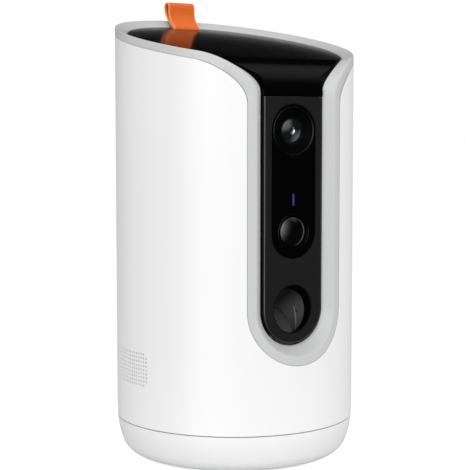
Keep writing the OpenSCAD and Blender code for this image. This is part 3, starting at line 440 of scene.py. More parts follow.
def ribbon_orange():
    """Woven orange ribbon: ribs across, paler selvedges along both sides."""
    material, tree, shader = new_finish("tab_orange", Roughness=0.62, Sheen_Weight=0.25,
                                        Sheen_Roughness=0.4, Specular_IOR_Level=0.3)
    cloth = node(tree, "ShaderNodeUVMap", uv_map="ribbon").outputs["UV"]
    rib = node(tree, "ShaderNodeTexWave", {"Vector": cloth, "Scale": 26.0, "Distortion": 0.4, "Detail": 1.0},
               bands_direction="Y")
    yarn = node(tree, "ShaderNodeTexWave", {"Vector": cloth, "Scale": 20.0, "Distortion": 0.3},
                bands_direction="X")
    over = maths(tree, "MULTIPLY", rib.outputs["Fac"], yarn.outputs["Fac"])
    aside = maths(tree, "ABSOLUTE", maths(tree, "SUBTRACT", split(tree, cloth)["X"], 0.5))
    selvedge = ramp(tree, aside, 0.43, 0.47)
    weave = blend(tree, over, (0.74, 0.125, 0.009, 1), (0.87, 0.185, 0.014, 1))
    tone = blend(tree, selvedge, weave, (0.90, 0.30, 0.09, 1))
    feed(tree, shader, Base_Color=tone, Normal=relief(tree, over, 80, 0.6))
    return material


def board_green():
    """Circuit board: solder mask over copper tracks, with pale pads."""
    material, tree, shader = new_finish("board_green", Roughness=0.35)
    spot = object_spot(tree)
    tracks = node(tree, "ShaderNodeTexBrick", {
        "Vector": spot, "Scale": 160.0, "Color1": (0.004, 0.055, 0.018, 1), "Color2": (0.006, 0.075, 0.024, 1),
        "Mortar": (0.015, 0.13, 0.04, 1), "Mortar Size": 0.05}).outputs
    pads = node(tree, "ShaderNodeTexVoronoi", {"Vector": spot, "Scale": 260.0}).outputs["Distance"]
    tone = blend(tree, ramp(tree, pads, 0.16, 0.12), tracks["Color"], (0.55, 0.47, 0.25, 1))
    feed(tree, shader, Base_Color=tone, Normal=relief(tree, tracks["Fac"], 30, 0.4))
    return material


def lens_glass():
    """Thin coated front glass that lets light through."""
    material, tree, shader = new_finish("lens_glass", Alpha=0.16, IOR=1.5)
    surface = moulded(tree, (0.012, 0.02, 0.02, 1), 0.03, spread=0.03, shade=0.9)
    feed(tree, shader, Base_Color=surface["Colour"], Roughness=surface["Roughness"])
    return material


def turned_grey():
    """Turned cone behind the glass: fine rings in its roughness, and a painted sheen in its colour, lighter in
    two opposite sectors and towards the outer edge.
    """
    material, tree, shader = new_finish("cone_grey", Metallic=0.5, Specular_IOR_Level=0.5)
    spot = object_spot(tree)
    centred = node(tree, "ShaderNodeVectorMath", {0: spot, 1: (0, 0, LENS_Z * MM)}, operation="SUBTRACT")
    axis = split(tree, centred.outputs[0])
    turn = maths(tree, "ARCTAN2", axis["Z"], axis["X"])
    # Painted sheen: two opposite sectors made lighter in the colour, standing for a reflection off the turned
    # rings.
    wave = maths(tree, "COSINE", maths(tree, "MULTIPLY_ADD", turn, 2.0, math.radians(90)))
    painted_sheen = ramp(tree, wave, -0.45, 1.1)
    flat = node(tree, "ShaderNodeCombineXYZ", {"X": axis["X"], "Z": axis["Z"]}).outputs[0]
    reach = node(tree, "ShaderNodeVectorMath", {0: flat}, operation="LENGTH").outputs["Value"]
    # Painted highlight: lighter towards the cone's outer edge, and dark beyond it.
    inner = ramp(tree, reach, 5.6 * MM, 5.1 * MM)
    painted_outward_highlight = ramp(tree, reach, 1.8 * MM, 4.9 * MM, low=0.4)
    bright = maths(tree, "MULTIPLY", painted_sheen, maths(tree, "MULTIPLY", inner, painted_outward_highlight))
    tone = blend(tree, bright, (0.005, 0.008, 0.008, 1), (0.42, 0.42, 0.405, 1))
    rings = node(tree, "ShaderNodeTexWave", {"Vector": spot, "Scale": 900.0, "Distortion": 0.6},
                 wave_type="RINGS", rings_direction="Y").outputs["Fac"]
    feed(tree, shader, Base_Color=tone, Roughness=ramp(tree, rings, 0.0, 1.0, 0.42, 0.56))
    return material


def tube_grey():
    """Launch tube with painted light and shade: its wall darker at the upper left and paler low on its right,
    and the throwing chamber behind it painted much paler to make up for its shade.
    """
    material, tree, shader = new_finish("tube_grey", Specular_IOR_Level=0.25)
    axis = split(tree, object_spot(tree))
    deep = ramp(tree, axis["Y"], -(CHAMBER_F + 0.5) * MM, -(CHAMBER_F - 0.5) * MM)
    # Painted light and shade: the tone climbs from the upper left to the lower right, on the wall and far more
    # in the chamber.
    slide = maths(tree, "SUBTRACT", axis["X"], axis["Z"])
    wall_start, chamber_light_start, end = ((mm - OUTLET_Z) * MM for mm in (WALL_LIGHT_START, CHAMBER_LIGHT_START, PAINTED_LIGHT_END))
    painted_wall_light = ramp(tree, slide, wall_start, end, curve="SMOOTHSTEP")
    painted_chamber_light = ramp(tree, slide, chamber_light_start, end)
    wall = blend(tree, painted_wall_light, (0.011, 0.011, 0.0115, 1), (0.15, 0.15, 0.153, 1))
    painted_lit_chamber = blend(tree, painted_chamber_light, (0.02, 0.02, 0.0205, 1), (0.6, 0.6, 0.605, 1))
    tone = blend(tree, deep, wall, painted_lit_chamber)
    dress(tree, shader, moulded(tree, tone, 0.26, spread=0.06, shade=0.85), 10)
    return material


def light_violet():
    """Violet light pipe, brightest in the middle of the bar."""
    material, tree, shader = new_finish("light_violet", Base_Color=(0.03, 0.018, 0.12, 1), Roughness=0.35,
                                        Emission_Strength=0.3)
    height = split(tree, object_spot(tree))["Z"]
    away = maths(tree, "ABSOLUTE", maths(tree, "SUBTRACT", height, LIGHT_Z * MM))
    fade = ramp(tree, away, 0.0, LIGHT_H * MM / 2)
    glow = blend(tree, fade, (0.11, 0.055, 0.55, 1), (0.04, 0.02, 0.22, 1))
    feed(tree, shader, Emission_Color=glow)
    return material


PLASTICS = {
    "shell_white": dict(colour=(0.84, 0.84, 0.845), gloss=0.34, shade=0.985, depth=12),
    "trim_grey": dict(colour=(0.56, 0.563, 0.567), gloss=0.38, shade=0.97, depth=15),
    "gloss_black": dict(colour=(0.0013, 0.0013, 0.0015), gloss=0.18, spread=0.05, shade=0.8, depth=1,
                        Specular_IOR_Level=0.23),
    "window_black": dict(colour=(0.0012, 0.0012, 0.0014), gloss=0.06, spread=0.03, shade=0.8, depth=1,
                         Specular_IOR_Level=0.4),
    # ring_black is also painted shade: it coats the outlet's throat and the dark stub for a small hole in the
    # tube.
    "ring_black": dict(colour=(0.0012, 0.0012, 0.0014), gloss=0.4, spread=0.06, shade=0.8, depth=2,
                       Specular_IOR_Level=0.06),
    "bead_black": dict(colour=(0.004, 0.004, 0.0044), gloss=0.12, spread=0.04, shade=0.8, depth=1,
                       Specular_IOR_Level=0.8),
    "dome_black": dict(colour=(0.002, 0.002, 0.0022), gloss=0.13, spread=0.04, shade=0.8, depth=1,
                       Specular_IOR_Level=1.0),
    "element_glass": dict(colour=(0.75, 0.85, 0.84), gloss=0.14, spread=0.03, shade=0.9, depth=1, Metallic=1.0),
    "chute_grey": dict(colour=(0.085, 0.085, 0.087), gloss=0.26, spread=0.06, shade=0.85, depth=10),
    # Painted highlight: the tube's rib, paler than the tube it is moulded on.
    "rib_painted_highlight": dict(colour=(0.27, 0.27, 0.274), gloss=0.22, spread=0.06, shade=0.85, depth=10),
    "matt_black": dict(colour=(0.0115, 0.0115, 0.012), gloss=0.44, spread=0.1, shade=0.85, grain=3200.0,
                       depth=30, Specular_IOR_Level=0.3),
    "edge_black": dict(colour=(0.0085, 0.0085, 0.009), gloss=0.24, spread=0.06, shade=0.85, grain=3200.0,
                       depth=10, Specular_IOR_Level=0.95),
    "dark_grey": dict(colour=(0.045, 0.045, 0.048), gloss=0.48, shade=0.88, depth=30),
    "hopper_grey": dict(colour=(0.55, 0.55, 0.56), gloss=0.42, shade=0.95),
    "soft_grey": dict(colour=(0.20, 0.20, 0.205), gloss=0.75, shade=0.9, grain=1800.0, depth=60),
    "gear_ivory": dict(colour=(0.72, 0.66, 0.50), gloss=0.4, shade=0.94),
}
FINISHES = {name: plastic(name, **values) for name, values in PLASTICS.items()}
FINISHES.update({
    "tube_grey": tube_grey(),
    "cone_grey": turned_grey(),
    "steel": metal("steel", (0.60, 0.60, 0.61), 0.25),
    "brass": metal("brass", (0.72, 0.52, 0.22), 0.25),
    "tab_orange": ribbon_orange(),
    "board_green": board_green(),
    "lens_glass": lens_glass(),
    "light_violet": light_violet(),
})


def dress_cad_nodes():
    """Gives every carried-over node the finish of its slot, and the thrower its own."""
    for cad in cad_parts.values():
        for slot in cad.material_slots:
            slot.material = FINISHES[slot.material.name.split(".")[0]]
    for name, finish in (("launch_tube", "tube_grey"), ("throw_paddle", "chute_grey")):
        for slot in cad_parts[name].material_slots:
            slot.material = FINISHES[finish]


# Trim round the slanted top and the slot. A curve has a radius, a drop below the rim, a front distance,
# the round's radius, and whether its foot is flat.

EDGE = (BODY_R, 0.0, EDGE_F, RIM_ROUND, False)
BAND = (BODY_R, TRIM_BAND, BAND_F, RIM_ROUND, False)
INNER = (TRIM_R, LID_DROP, INNER_F, INNER_ROUND, True)
TOP_STEPS = 44
ROUND_STEPS = 10
FOOT_STEPS = 16
FOOT_START = TOP_STEPS + ROUND_STEPS + 1


def round_z(curve):
    """Height of the centre of the round that joins the slanted top to the front."""
    _, drop, front, r, _ = curve
    return rim_z(front - r, drop) - r / math.cos(TILT)


def rim_point(curve, i):
    """Point i of a rim curve, from the back over the round and down to the slot's foot."""
    radius, drop, front, r, flat = curve
    centre = front - r
    side = math.sqrt(radius ** 2 - front ** 2)
    if i < TOP_STEPS:
        first = math.acos((centre + r * math.sin(TILT)) / radius)
        turn = math.pi - (math.pi - first) * i / TOP_STEPS
        f = radius * math.cos(turn)
        return Vector((radius * math.sin(turn), f, rim_z(f, drop)))
    if i <= TOP_STEPS + ROUND_STEPS:
        bend = STEEP * (1 - (i - TOP_STEPS) / ROUND_STEPS)
        f = centre + r * math.cos(bend)
        return Vector((math.sqrt(radius ** 2 - f ** 2), f, round_z(curve) + r * math.sin(bend)))
    if i < FOOT_START:
        return Vector((side, front, between(round_z(curve), OUTLET_Z, i - FOOT_START + 1)))
    fall = math.pi / 2 * (i - FOOT_START) / FOOT_STEPS
    x = side * math.cos(fall)
    f = front if flat else math.sqrt(radius ** 2 - x ** 2)
    return Vector((x, f, OUTLET_Z - side * math.sin(fall)))


def at_radius(point, r):
    """The point moved straight in or out to a radius."""
    k = r / math.hypot(point.x, point.y)
    return Vector((point.x * k, point.y * k, point.z))


def trim_section(i):
    """Section of the trim at point i: outer band, rounded edge, bevelled face and hidden lip."""
    edge, band, inner = (rim_point(curve, i) for curve in (EDGE, BAND, INNER))
    crest = bow(between(edge, band, 0.24), edge, between(edge, inner, 0.15), (0.0, 0.2, 0.4, 0.6, 0.8, 1.0))
    lip = between(edge, band, 2.2)
    step = between(edge, band, 0.7)
    hook = at_radius(lip, TRIM_R + 0.2)
    return [at_radius(band, BODY_R - 0.12), between(band, edge, 0.03), *crest,
            between(inner, edge, 0.06), between(inner, hook, 0.08), hook,
            at_radius(lip, TRIM_LIP_R), at_radius(step, TRIM_LIP_R)]


def rim_trim():
    """Light grey trim."""
    tops = [k / 2 for k in range(2 * TOP_STEPS)]
    rounds = [TOP_STEPS + k / 3 for k in range(3 * ROUND_STEPS + 1)]
    falls = [FOOT_START - 1 + t for t in (0.01, 0.05, 0.25, 0.5, 0.75, 0.95, 0.99)]
    feet = [FOOT_START + k / 2 for k in range(2 * FOOT_STEPS + 1)]
    right = [trim_section(i) for i in tops + rounds + falls + feet]
    left = [[Vector((-p.x, p.y, p.z)) for p in ring] for ring in reversed(right[1:-1])]
    rings = right + left
    sides = len(rings[0])
    bm = bmesh.new()
    wrap_grid(bm, len(rings), sides, lambda column, row: place(*rings[column % len(rings)][row % sides]))
    return add_piece("rim_trim_soft", bm, "trim_grey", "housing", ["rim_trim"], sharp=40)


# Lid and its ribbon

def lid_profile():
    """(f, z) along the lid's outside, from the back over the fall to its front edge."""
    back_steps, flat_steps, fall_steps = 48, 24, 32
    centre_f = PANEL_F - LID_ROUND
    centre_z = round_z((TRIM_R, LID_DROP, PANEL_F, LID_ROUND, False))
    start = centre_f + LID_ROUND * math.sin(TILT)
    flat = [-LID_R * math.cos(math.pi / 2 * k / back_steps) for k in range(back_steps)]
    flat += [start * k / flat_steps for k in range(flat_steps + 1)]
    points = [(f, rim_z(f, LID_DROP)) for f in flat]
    low = math.asin((PANEL_TOP + LID_GAP - centre_z) / LID_ROUND)
    for k in range(1, fall_steps + 1):
        bend = between(STEEP, low, k / fall_steps)
        points.append((centre_f + LID_ROUND * math.cos(bend), centre_z + LID_ROUND * math.sin(bend)))
    return points


def lid_panel():
    """Gloss black lid: one sheet along its profile, thickened and rounded at the edge."""
    profile = lid_profile()
    columns = 40
    bm = bmesh.new()

    def spot(column, row):
        f, z = profile[row]
        half = math.sqrt(max(0.0, LID_R ** 2 - f * f))
        half = max(half, LID_X) if f > 0 else half
        return place(half * math.sin(math.pi * (column / columns - 0.5)), f, z)

    wrap_grid(bm, columns, len(profile) - 1, spot)
    lid = add_piece("lid_panel_soft", bm, "gloss_black", "lid", ["lid_panel"], sharp=50)
    thicken(lid, LID_T, offset=-1.0, edge=LID_EDGE, segments=4, angle=50)
    return lid


def ribbon_path():
    """(f, z) points along the ribbon: up one leg, over the loop and down the other."""
    leg_steps, loop_steps = 18, 16
    foot = Vector((TAB_F, rim_z(TAB_F, LID_DROP) + TAB_SEAT))
    rise = TAB_H - TAB_BEND - TAB_SEAT
    close, r = TAB_T * 0.52, TAB_BEND - TAB_T / 2
    legs = []
    for side in (1, -1):
        leg = [Vector((foot.x - side * close, foot.y - TAB_SEWN + k)) for k in range(TAB_SEWN + 1)]
        for k in range(1, leg_steps + 1):
            t = k / leg_steps
            spread = max(0.0, (t - 0.2) / 0.8)
            wide = between(close, r, spread * spread * (3 - 2 * spread))
            middle = foot + Vector((-TAB_LEAN * t * (2 - t), rise * t))
            slope = Vector((-2 * TAB_LEAN * (1 - t), rise)).normalized()
            leg.append(middle + Vector((-slope.y, slope.x)) * side * wide)
        legs.append(leg)
    turns = [math.pi * k / loop_steps for k in range(1, loop_steps)]
    loop = [foot + Vector((-TAB_LEAN - r * math.cos(t), rise + r * math.sin(t))) for t in turns]
    return legs[0] + loop + legs[1][::-1]


def pull_tab():
    """Orange ribbon folded into a loop, its two ends sewn together into the lid."""
    path = ribbon_path()
    lengths = [0.0]
    for a, b in zip(path, path[1:]):
        lengths.append(lengths[-1] + (b - a).length)
    columns = 12
    bm = bmesh.new()
    wrap_grid(bm, columns, len(path) - 1,
              lambda column, row: place(TAB_W * (column / columns - 0.5), path[row].x, path[row].y))
    uv = bm.loops.layers.uv.new("ribbon")
    for face in bm.faces:
        for loop in face.loops:
            co = loop.vert.co / MM
            here = Vector((-co.y, co.z))
            row = min(range(len(path)), key=lambda k: (path[k] - here).length)
            loop[uv].uv = (co.x / TAB_W + 0.5, lengths[row] / TAB_W)
    tab = add_piece("pull_tab_ribbon", bm, "tab_orange", "lid", ["pull_tab"], sharp=60)
    thicken(tab, TAB_T, offset=0.0, edge=TAB_EDGE, segments=2, angle=60)
    return tab


# Front: tongue, outlet, window, camera and motion sensor

def mouth_reach(x, z):
    """Distance from the middle of the oval mouth, 1 on its edge."""
    return math.hypot(x / OUTLET_R, (z - OUTLET_Z) / MOUTH_R)


def panel_frame(bm):
    """Rear frame of the tongue, with its screw flanges and posts."""
    back = PANEL_F - FRAME_DEPTH
    for side in (-1, 1):
        box(bm, FRAME_T / 2, back, FACE_BACK, FRAME_LOW, FRAME_TOP, side * (PANEL_X - FRAME_T / 2))
        box(bm, FLANGE_W / 2, back, back + FLANGE_T, FRAME_LOW, FLANGE_TOP, side * (PANEL_X + FLANGE_W / 2))
        for post in (CAMERA_POST, SENSOR_POST):
            for z in post["heights"]:
                rod(bm, side * post["x"], z, FACE_BACK - post["length"], FACE_BACK, post["r"])
    box(bm, PANEL_X - FRAME_T, back, FACE_BACK, FRAME_LOW, FRAME_LOW + FRAME_T)
    box(bm, PANEL_X - FRAME_T, back, FACE_BACK, PANEL_TOP - FRAME_T, FRAME_TOP)


def front_panel():
    """Matt black tongue with smoother rounded edges, the slanted outlet and the rear frame."""
    seat = WINDOW_R + SEAT
    outline = [(0, PANEL_TOP), (PANEL_X, PANEL_TOP)]
    outline += arc(0, OUTLET_Z, PANEL_X, 0, -90, 48)
    outline += [(x, OUTLET_Z + z * MOUTH_R / OUTLET_R) for x, z in arc(0, 0, OUTLET_R, -90, 90, 64)]
    outline += arc(0, PIR_Z, seat, -90, 0, 36)
    outline += arc(0, LENS_Z, seat, 0, 90, 36)
    bm = bmesh.new()

    def at_window(x, z):
        return x < PANEL_X - 1 and z > PIR_Z - seat - 0.5 and z < PANEL_TOP - 1

    def at_outlet(x, z):
        return mouth_reach(x, z) < 1.005

    half_plate(bm, outline, PANEL_F, PANEL_T, [
        (at_window, 0.3), (at_outlet, MOUTH_ROUND), (everywhere, PANEL_ROUND)])
    bm.normal_update()
    for face in bm.faces:
        near = all(PANEL_F + v.co.y / MM < PANEL_ROUND + 0.01 for v in face.verts)
        if near and 0.1 < abs(face.normal.y) < 0.99:
            face.material_index = 1
    for v in bm.verts:
        depth = PANEL_F + v.co.y / MM
        if depth > MOUTH_ROUND - 0.01 and mouth_reach(v.co.x / MM, v.co.z / MM) < 1.01:
            v.co.z -= (depth - MOUTH_ROUND) * THROAT_SLOPE * MM
    panel_frame(bm)
    panel = add_piece("front_panel_soft", bm, "matt_black", "housing", ["front_panel"])
    keep_flat(panel)
    panel.data.materials.append(FINISHES["edge_black"])
    return panel


def outlet_collar():
    """Slanted throat of the treat outlet, coated near black, darker than the tongue it belongs to: painted
    shade.
    """
    mouth, back = PANEL_F - MOUTH_ROUND, FACE_BACK - THROAT_END
    lip = 0.3
    section = [(lip, mouth), (-0.04, mouth), (-THROAT_TAPER, back + lip), (lip - THROAT_TAPER, back),
               (THROAT_WALL, back), (THROAT_WALL, FACE_BACK)]
    around = 96
    bm = bmesh.new()

    def spot(column, row):
        wall, f = section[row % len(section)]
        turn = math.tau * column / around
        middle = OUTLET_Z - (mouth - f) * THROAT_SLOPE
        return place((OUTLET_R + wall) * math.cos(turn), f, middle + (MOUTH_R + wall) * math.sin(turn))

    wrap_grid(bm, around, len(section), spot)
    # The ring_black coat here is painted shade in the throat.
    return add_piece("outlet_collar_soft", bm, "matt_black", "housing", coat="ring_black")


def bore_point(turn, way, sink=0.0):
    """A point on the launch tube's slanted wall, turned from +X and some way down the tube."""
    r = OUTLET_R + sink
    up = r * math.sin(turn)
    diagonal = math.sqrt(0.5)
    return place(r * math.cos(turn), PANEL_F - (way + up) * diagonal, OUTLET_Z + (up - way) * diagonal)


def tube_rib():
    """Fine moulded rib on the launch tube's wall, where its two halves meet, thinned out at both ends, and
    coloured paler than the tube it is moulded on as a painted highlight.
    """
    rows, around = 28, 10
    bm = bmesh.new()

    def middle(t, sink=0.0):
        turn = between(RIB_HIGH, RIB_LOW, t)
        return bore_point(turn, RIB_ALONG - RIB_LEAN * math.degrees(turn), sink)

    def spot(column, row):
        t = row / rows
        here = middle(t)
        way = (middle(t + 0.01) - middle(t - 0.01)).normalized()
        out = (middle(t, sink=1.0) - here).normalized()
        side = way.cross(out)
        bend = math.tau * column / around
        thick = RIB_R * MM * math.sin(math.pi * t) ** 0.5 if 0 < row < rows else 0.0
        return here + (out * math.cos(bend) + side * math.sin(bend)) * thick

    wrap_grid(bm, around, rows, spot)
    return add_piece("tube_rib_soft", bm, "dark_grey", "housing", coat="rib_painted_highlight")


def tube_hole_shade():
    """Small dark stub in the tube's wall: painted shade of a small hole."""
    low, high = bore_point(*HOLE_SHADE_SPOT, sink=HOLE_SHADE_SINK), bore_point(*HOLE_SHADE_SPOT, sink=-HOLE_SHADE_PROUD)
    turn = (high - low).to_track_quat("Z", "Y").to_matrix().to_4x4()
    bm = bmesh.new()
    bmesh.ops.create_cone(bm, cap_ends=True, segments=32, radius1=HOLE_SHADE_R * MM, radius2=HOLE_SHADE_R * MM * 0.8,
                          depth=(high - low).length, matrix=Matrix.Translation((low + high) / 2) @ turn)
    return add_piece("tube_hole_shade_soft", bm, "dark_grey", "housing", coat="ring_black")


def sensor_window():
    """Gloss black cover with cut-outs for the camera, the light and the motion sensor."""
    ring = LENS_RING_R + SEAT
    eye = PIR_R + PIR_RIM + SEAT
    slit_x, slit_h = LIGHT_W / 2 + SEAT, LIGHT_H / 2 + SEAT
    slit_low, slit_high = LIGHT_Z - slit_h, LIGHT_Z + slit_h
    outline = arc(0, LENS_Z, WINDOW_R, 90, 0, 36) + arc(0, PIR_Z, WINDOW_R, 0, -90, 36)
    outline += arc(0, PIR_Z, eye, -90, 90, 48)
    outline += [(0, slit_low), (slit_x, slit_low), (slit_x, slit_high), (0, slit_high)]
    outline += arc(0, LENS_Z, ring, -90, 90, 48)
    bm = bmesh.new()

    def at_slit(x, z):
        return abs(z - LIGHT_Z) < slit_h + 0.1 and x < slit_x + 0.1

    half_plate(bm, outline, PANEL_F, WINDOW_T, [(at_slit, 0.08), (everywhere, 0.4)])
    window = add_piece("sensor_window_soft", bm, "gloss_black", "housing", ["sensor_window"],
                       coat="window_black")
    keep_flat(window)
    return window


def rounded(corner, before, after, r):
    """A small round at a corner of a lathe profile."""
    corner, before, after = Vector(corner), Vector(before), Vector(after)
    a = corner + (before - corner).normalized() * r
    b = corner + (after - corner).normalized() * r
    return [tuple(p) for p in bow(a, corner, b, (0.0, 0.33, 0.67, 1.0))]


def lens_ring():
    """Dished ring round the camera glass, with fine steps in the dish."""
    low, high = LENS_R + 0.3, LENS_RING_R - 1.2
    steps = 5
    profile = [(low, WINDOW_F)]
    for k in range(steps):
        r1, r2 = between(low, high, k / steps), between(low, high, (k + 1) / steps)
        f1, f2 = WINDOW_F + WINDOW_T * k / steps, WINDOW_F + WINDOW_T * (k + 1) / steps
        profile += [(between(r1, r2, 0.75), between(f1, f2, 0.45)), (r2, f2)]
    profile += rounded((LENS_RING_R, PANEL_F), (high, PANEL_F), (LENS_RING_R, WINDOW_F), 0.25)
    profile += [(LENS_RING_R, WINDOW_F), (low, WINDOW_F)]
    return turned_piece("lens_ring_soft", profile, LENS_Z, "gloss_black", ["lens_ring"], sharp=30,
                        coat="ring_black")


def lens_bead():
    """Fine polished bead round the edge of the lens ring."""
    middle, crown, r = LENS_RING_R - 0.22, PANEL_F - 0.06, 0.15
    profile = arc(middle, crown, r, 0, 360, 12)
    return turned_piece("lens_bead_soft", profile, LENS_Z, "gloss_black", steps=128, coat="bead_black")


def dome(radius, sag, crown, steps):
    """(r, f) points of a dome from its middle to its edge."""
    ball = (radius ** 2 + sag ** 2) / (2 * sag)
    turn = math.asin(radius / ball)
    return [(ball * math.sin(turn * k / steps), crown - ball + ball * math.cos(turn * k / steps))
            for k in range(steps + 1)]


def camera_lens():
    """Domed front glass, hollow behind."""
    crown, sag, wall = PANEL_F - 0.3, 1.4, 0.5
    foot = crown - sag - 0.4
    inside = dome(LENS_R - wall, 1.2, crown - wall, 20)
    profile = dome(LENS_R, sag, crown, 20) + [(LENS_R, foot), (LENS_R - wall, foot)] + inside[::-1]
    return turned_piece("camera_lens_soft", profile, LENS_Z, "lens_glass", ["camera_lens"], sharp=40)


def lens_element():
    """Small dished inner element at the tip of the cone."""
    sag, rim = 1.0, PANEL_F - CONE_DEPTH
    back = rim - 2.2
    dish = [(r, rim - sag + (rim - f)) for r, f in dome(ELEMENT_R, sag, rim, 12)]
    profile = dish + [(ELEMENT_R, back), (0.0, back)]
    return turned_piece("lens_element_soft", profile, LENS_Z, "lens_glass", steps=48, coat="element_glass")


def lens_barrel():
    """Tube behind the glass: a turned cone that rises in fine steps to the inner element."""
    wide, narrow = LENS_R - 0.75, ELEMENT_R + 0.1
    foot, tip = PANEL_F - CONE_FOOT, PANEL_F - CONE_DEPTH
    outer, bore = LENS_R + 0.9, LENS_R + 0.1
    back, front = FACE_BACK - 6.5, WINDOW_F - 0.2
    profile = [(outer, back), (outer, front), (bore, front), (bore, foot), (wide, foot)]
    for k in range(1, CONE_STEPS + 1):
        r, f = between(wide, narrow, k / CONE_STEPS), between(foot, tip, k / CONE_STEPS)
        profile += [(r + 0.14, f - 0.07), (r, f)]
    profile += [(narrow, back), (outer, back)]
    return turned_piece("lens_barrel_soft", profile, LENS_Z, "matt_black", ["lens_barrel"], sharp=30,
                        coat="cone_grey")


def pir_ring():
    """Ring round the motion sensor dome."""
    inner, outer = PIR_R + SEAT, PIR_R + PIR_RIM
    crown = PANEL_F + 0.3
    profile = [(inner, WINDOW_F)]
    profile += rounded((inner, crown), (inner, WINDOW_F), (outer, crown), 0.12)
    profile += rounded((outer, crown), (inner, crown), (outer, WINDOW_F), 0.25)
    profile += [(outer, WINDOW_F), (inner, WINDOW_F)]
    return turned_piece("pir_ring_soft", profile, PIR_Z, "gloss_black", ["pir_ring"], sharp=50,
                        coat="window_black")


def pir_lens():
    """Smooth dome over the motion sensor."""
    bore = PIR_R - 1.6
    inside = [(r, f) for r, f in dome(PIR_R, PIR_SAG, PIR_CROWN - 1.0, 24) if r < bore]
    profile = dome(PIR_R, PIR_SAG, PIR_CROWN, 24) + [(PIR_R, WINDOW_F), (bore, WINDOW_F)] + inside[::-1]
    return turned_piece("pir_lens_soft", profile, PIR_Z, "gloss_black", ["pir_lens"], sharp=50,
                        coat="dome_black")


# Stage, in metres

CAMERA_SPOT = (-0.3515, -0.5626, 0.1653)
CAMERA_TURN = (math.radians(90 - 4.706), 0.0, math.radians(-32.0))
CAMERA_LENS = 99.8
CAMERA_SENSOR = 36.0
CAMERA_SHIFT = 0.0012
FLOOR_R = 0.13
FLOOR_GLOW = 0.75
WHITE = (1, 1, 1, 1)

# Light of the room on matt surfaces, from left to right, and what reflections show: a dim room,
# a low backdrop, a wide wing of light from the left and a soft glow from the upper right.
ROOM_LIGHT = 0.64
ROOM_RIGHT = 1.12
ROOM_DIM = 0.004
BACKDROP = 0.42
BACKDROP_Y = (-0.15, 0.35)
BACKDROP_Z = (0.15, 0.04)
WING = 3.8
WING_FROM = (-0.94, 0.0, 0.34)
WING_SPREAD = (-0.3, 0.9)
WING_Y = (-0.1, -0.4)
WING_FALL = 3.0
SIDE_GLOW = 0.5
SIDE_FROM = (0.447, -0.199, 0.872)
SIDE_SPREAD = (0.86, 1.0)

# Name, place, height aimed at, size, power, and whether reflections show it
LAMPS = (
    ("key", (-0.62, -1.13, 0.50), 0.12, (1.6, 1.9), 11.3, False),
    ("top", (-0.35, -0.1, 1.25), 0.15, (0.7, 0.7), 2.4, True),
    ("fill", (-0.9, 0.9, 0.5), 0.12, (1.0, 1.0), 1.0, True),
    ("side", (0.72, -0.32, 1.3), 0.15, (1.1, 1.1), 1.2, False),
)


def camera():
    """Camera at the photograph's viewing angle."""
    data = bpy.data.cameras.new("view")
    data.lens = CAMERA_LENS
    data.sensor_width = CAMERA_SENSOR
    data.shift_x = CAMERA_SHIFT
    data.clip_start = 0.01
    eye = bpy.data.objects.new("view", data)
    eye.location = CAMERA_SPOT
    eye.rotation_euler = CAMERA_TURN
    bpy.context.scene.collection.objects.link(eye)
    bpy.context.scene.camera = eye


def floor():
    """Plain white round table top that keeps a soft shadow."""
    bm = bmesh.new()
    bmesh.ops.create_circle(bm, cap_ends=True, segments=96, radius=FLOOR_R)
    mesh = bpy.data.meshes.new("floor")
    bm.to_mesh(mesh)
    bm.free()
    ground = bpy.data.objects.new("floor", mesh)
    bpy.context.scene.collection.objects.link(ground)
    material = bpy.data.materials.new("floor_white")
    material.use_nodes = True
    tree = material.node_tree
    tree.nodes.clear()
    seen = node(tree, "ShaderNodeLightPath").outputs["Is Camera Ray"]
    lift = maths(tree, "MULTIPLY", seen, FLOOR_GLOW)
    paper = node(tree, "ShaderNodeBsdfDiffuse", {"Color": (0.82, 0.82, 0.82, 1)})
    glow = node(tree, "ShaderNodeEmission", {"Color": WHITE, "Strength": lift})
    both = node(tree, "ShaderNodeAddShader", {0: paper.outputs[0], 1: glow.outputs[0]})
    node(tree, "ShaderNodeOutputMaterial", {"Surface": both.outputs[0]})
    mesh.materials.append(material)
    ground.visible_glossy = False


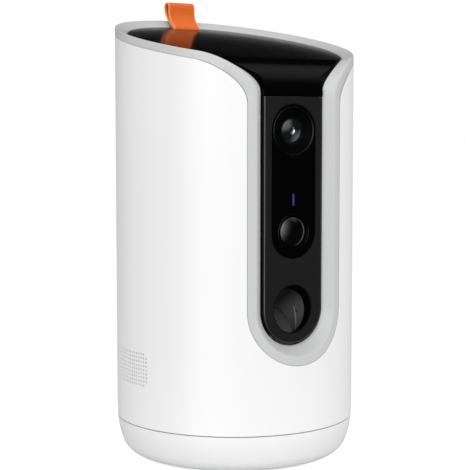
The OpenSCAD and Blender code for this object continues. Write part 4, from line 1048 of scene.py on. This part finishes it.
def softbox(name, spot, height, size, power, mirrored):
    """A rectangular soft light, aimed at a height on the body's axis."""
    data = bpy.data.lights.new(name, "AREA")
    data.shape = "RECTANGLE"
    data.size, data.size_y = size
    data.energy = power
    lamp = bpy.data.objects.new(name, data)
    lamp.location = spot
    lamp.visible_glossy = mirrored
    lamp.rotation_euler = (Vector((0, 0, height)) - Vector(spot)).to_track_quat("-Z", "Y").to_euler()
    bpy.context.scene.collection.objects.link(lamp)


def studio():
    """Soft light: white for the camera, a room that matt surfaces see, and another for reflections."""
    world = bpy.data.worlds.new("studio")
    world.use_nodes = True
    world.cycles.sampling_method = "NONE"
    bpy.context.scene.world = world
    tree = world.node_tree
    tree.nodes.clear()
    path = node(tree, "ShaderNodeLightPath").outputs
    direction = node(tree, "ShaderNodeTexCoord").outputs["Generated"]
    toward = split(tree, direction)
    wall = maths(tree, "MULTIPLY", ramp(tree, toward["Y"], *BACKDROP_Y), ramp(tree, toward["Z"], *BACKDROP_Z))
    backdrop = maths(tree, "MULTIPLY_ADD", wall, BACKDROP, ROOM_DIM)
    rise = ramp(tree, along(tree, direction, WING_FROM), *WING_SPREAD)
    near = ramp(tree, toward["Y"], *WING_Y, high=WING)
    wing = maths(tree, "MULTIPLY_ADD", maths(tree, "POWER", rise, WING_FALL), near, backdrop)
    side = ramp(tree, along(tree, direction, SIDE_FROM), *SIDE_SPREAD, high=SIDE_GLOW)
    shown = maths(tree, "ADD", wing, side)
    mirrored = maths(tree, "MAXIMUM", path["Is Glossy Ray"], path["Is Transmission Ray"])
    soft = ramp(tree, toward["X"], 0.0, 1.0, ROOM_LIGHT, ROOM_RIGHT)
    lit = blend(tree, mirrored, soft, shown, kind="FLOAT")
    seen = blend(tree, path["Is Camera Ray"], lit, 1.0, kind="FLOAT")
    sky = node(tree, "ShaderNodeBackground", {"Color": WHITE, "Strength": seen})
    node(tree, "ShaderNodeOutputWorld", {"Surface": sky.outputs[0]})
    for lamp in LAMPS:
        softbox(*lamp)


dress_cad_nodes()
rim_trim()
lid_panel()
pull_tab()
front_panel()
outlet_collar()
tube_rib()
tube_hole_shade()
sensor_window()
lens_ring()
lens_bead()
camera_lens()
lens_element()
lens_barrel()
pir_ring()
pir_lens()
camera()
floor()
studio()
bpy.context.scene.view_settings.view_transform = "Standard"
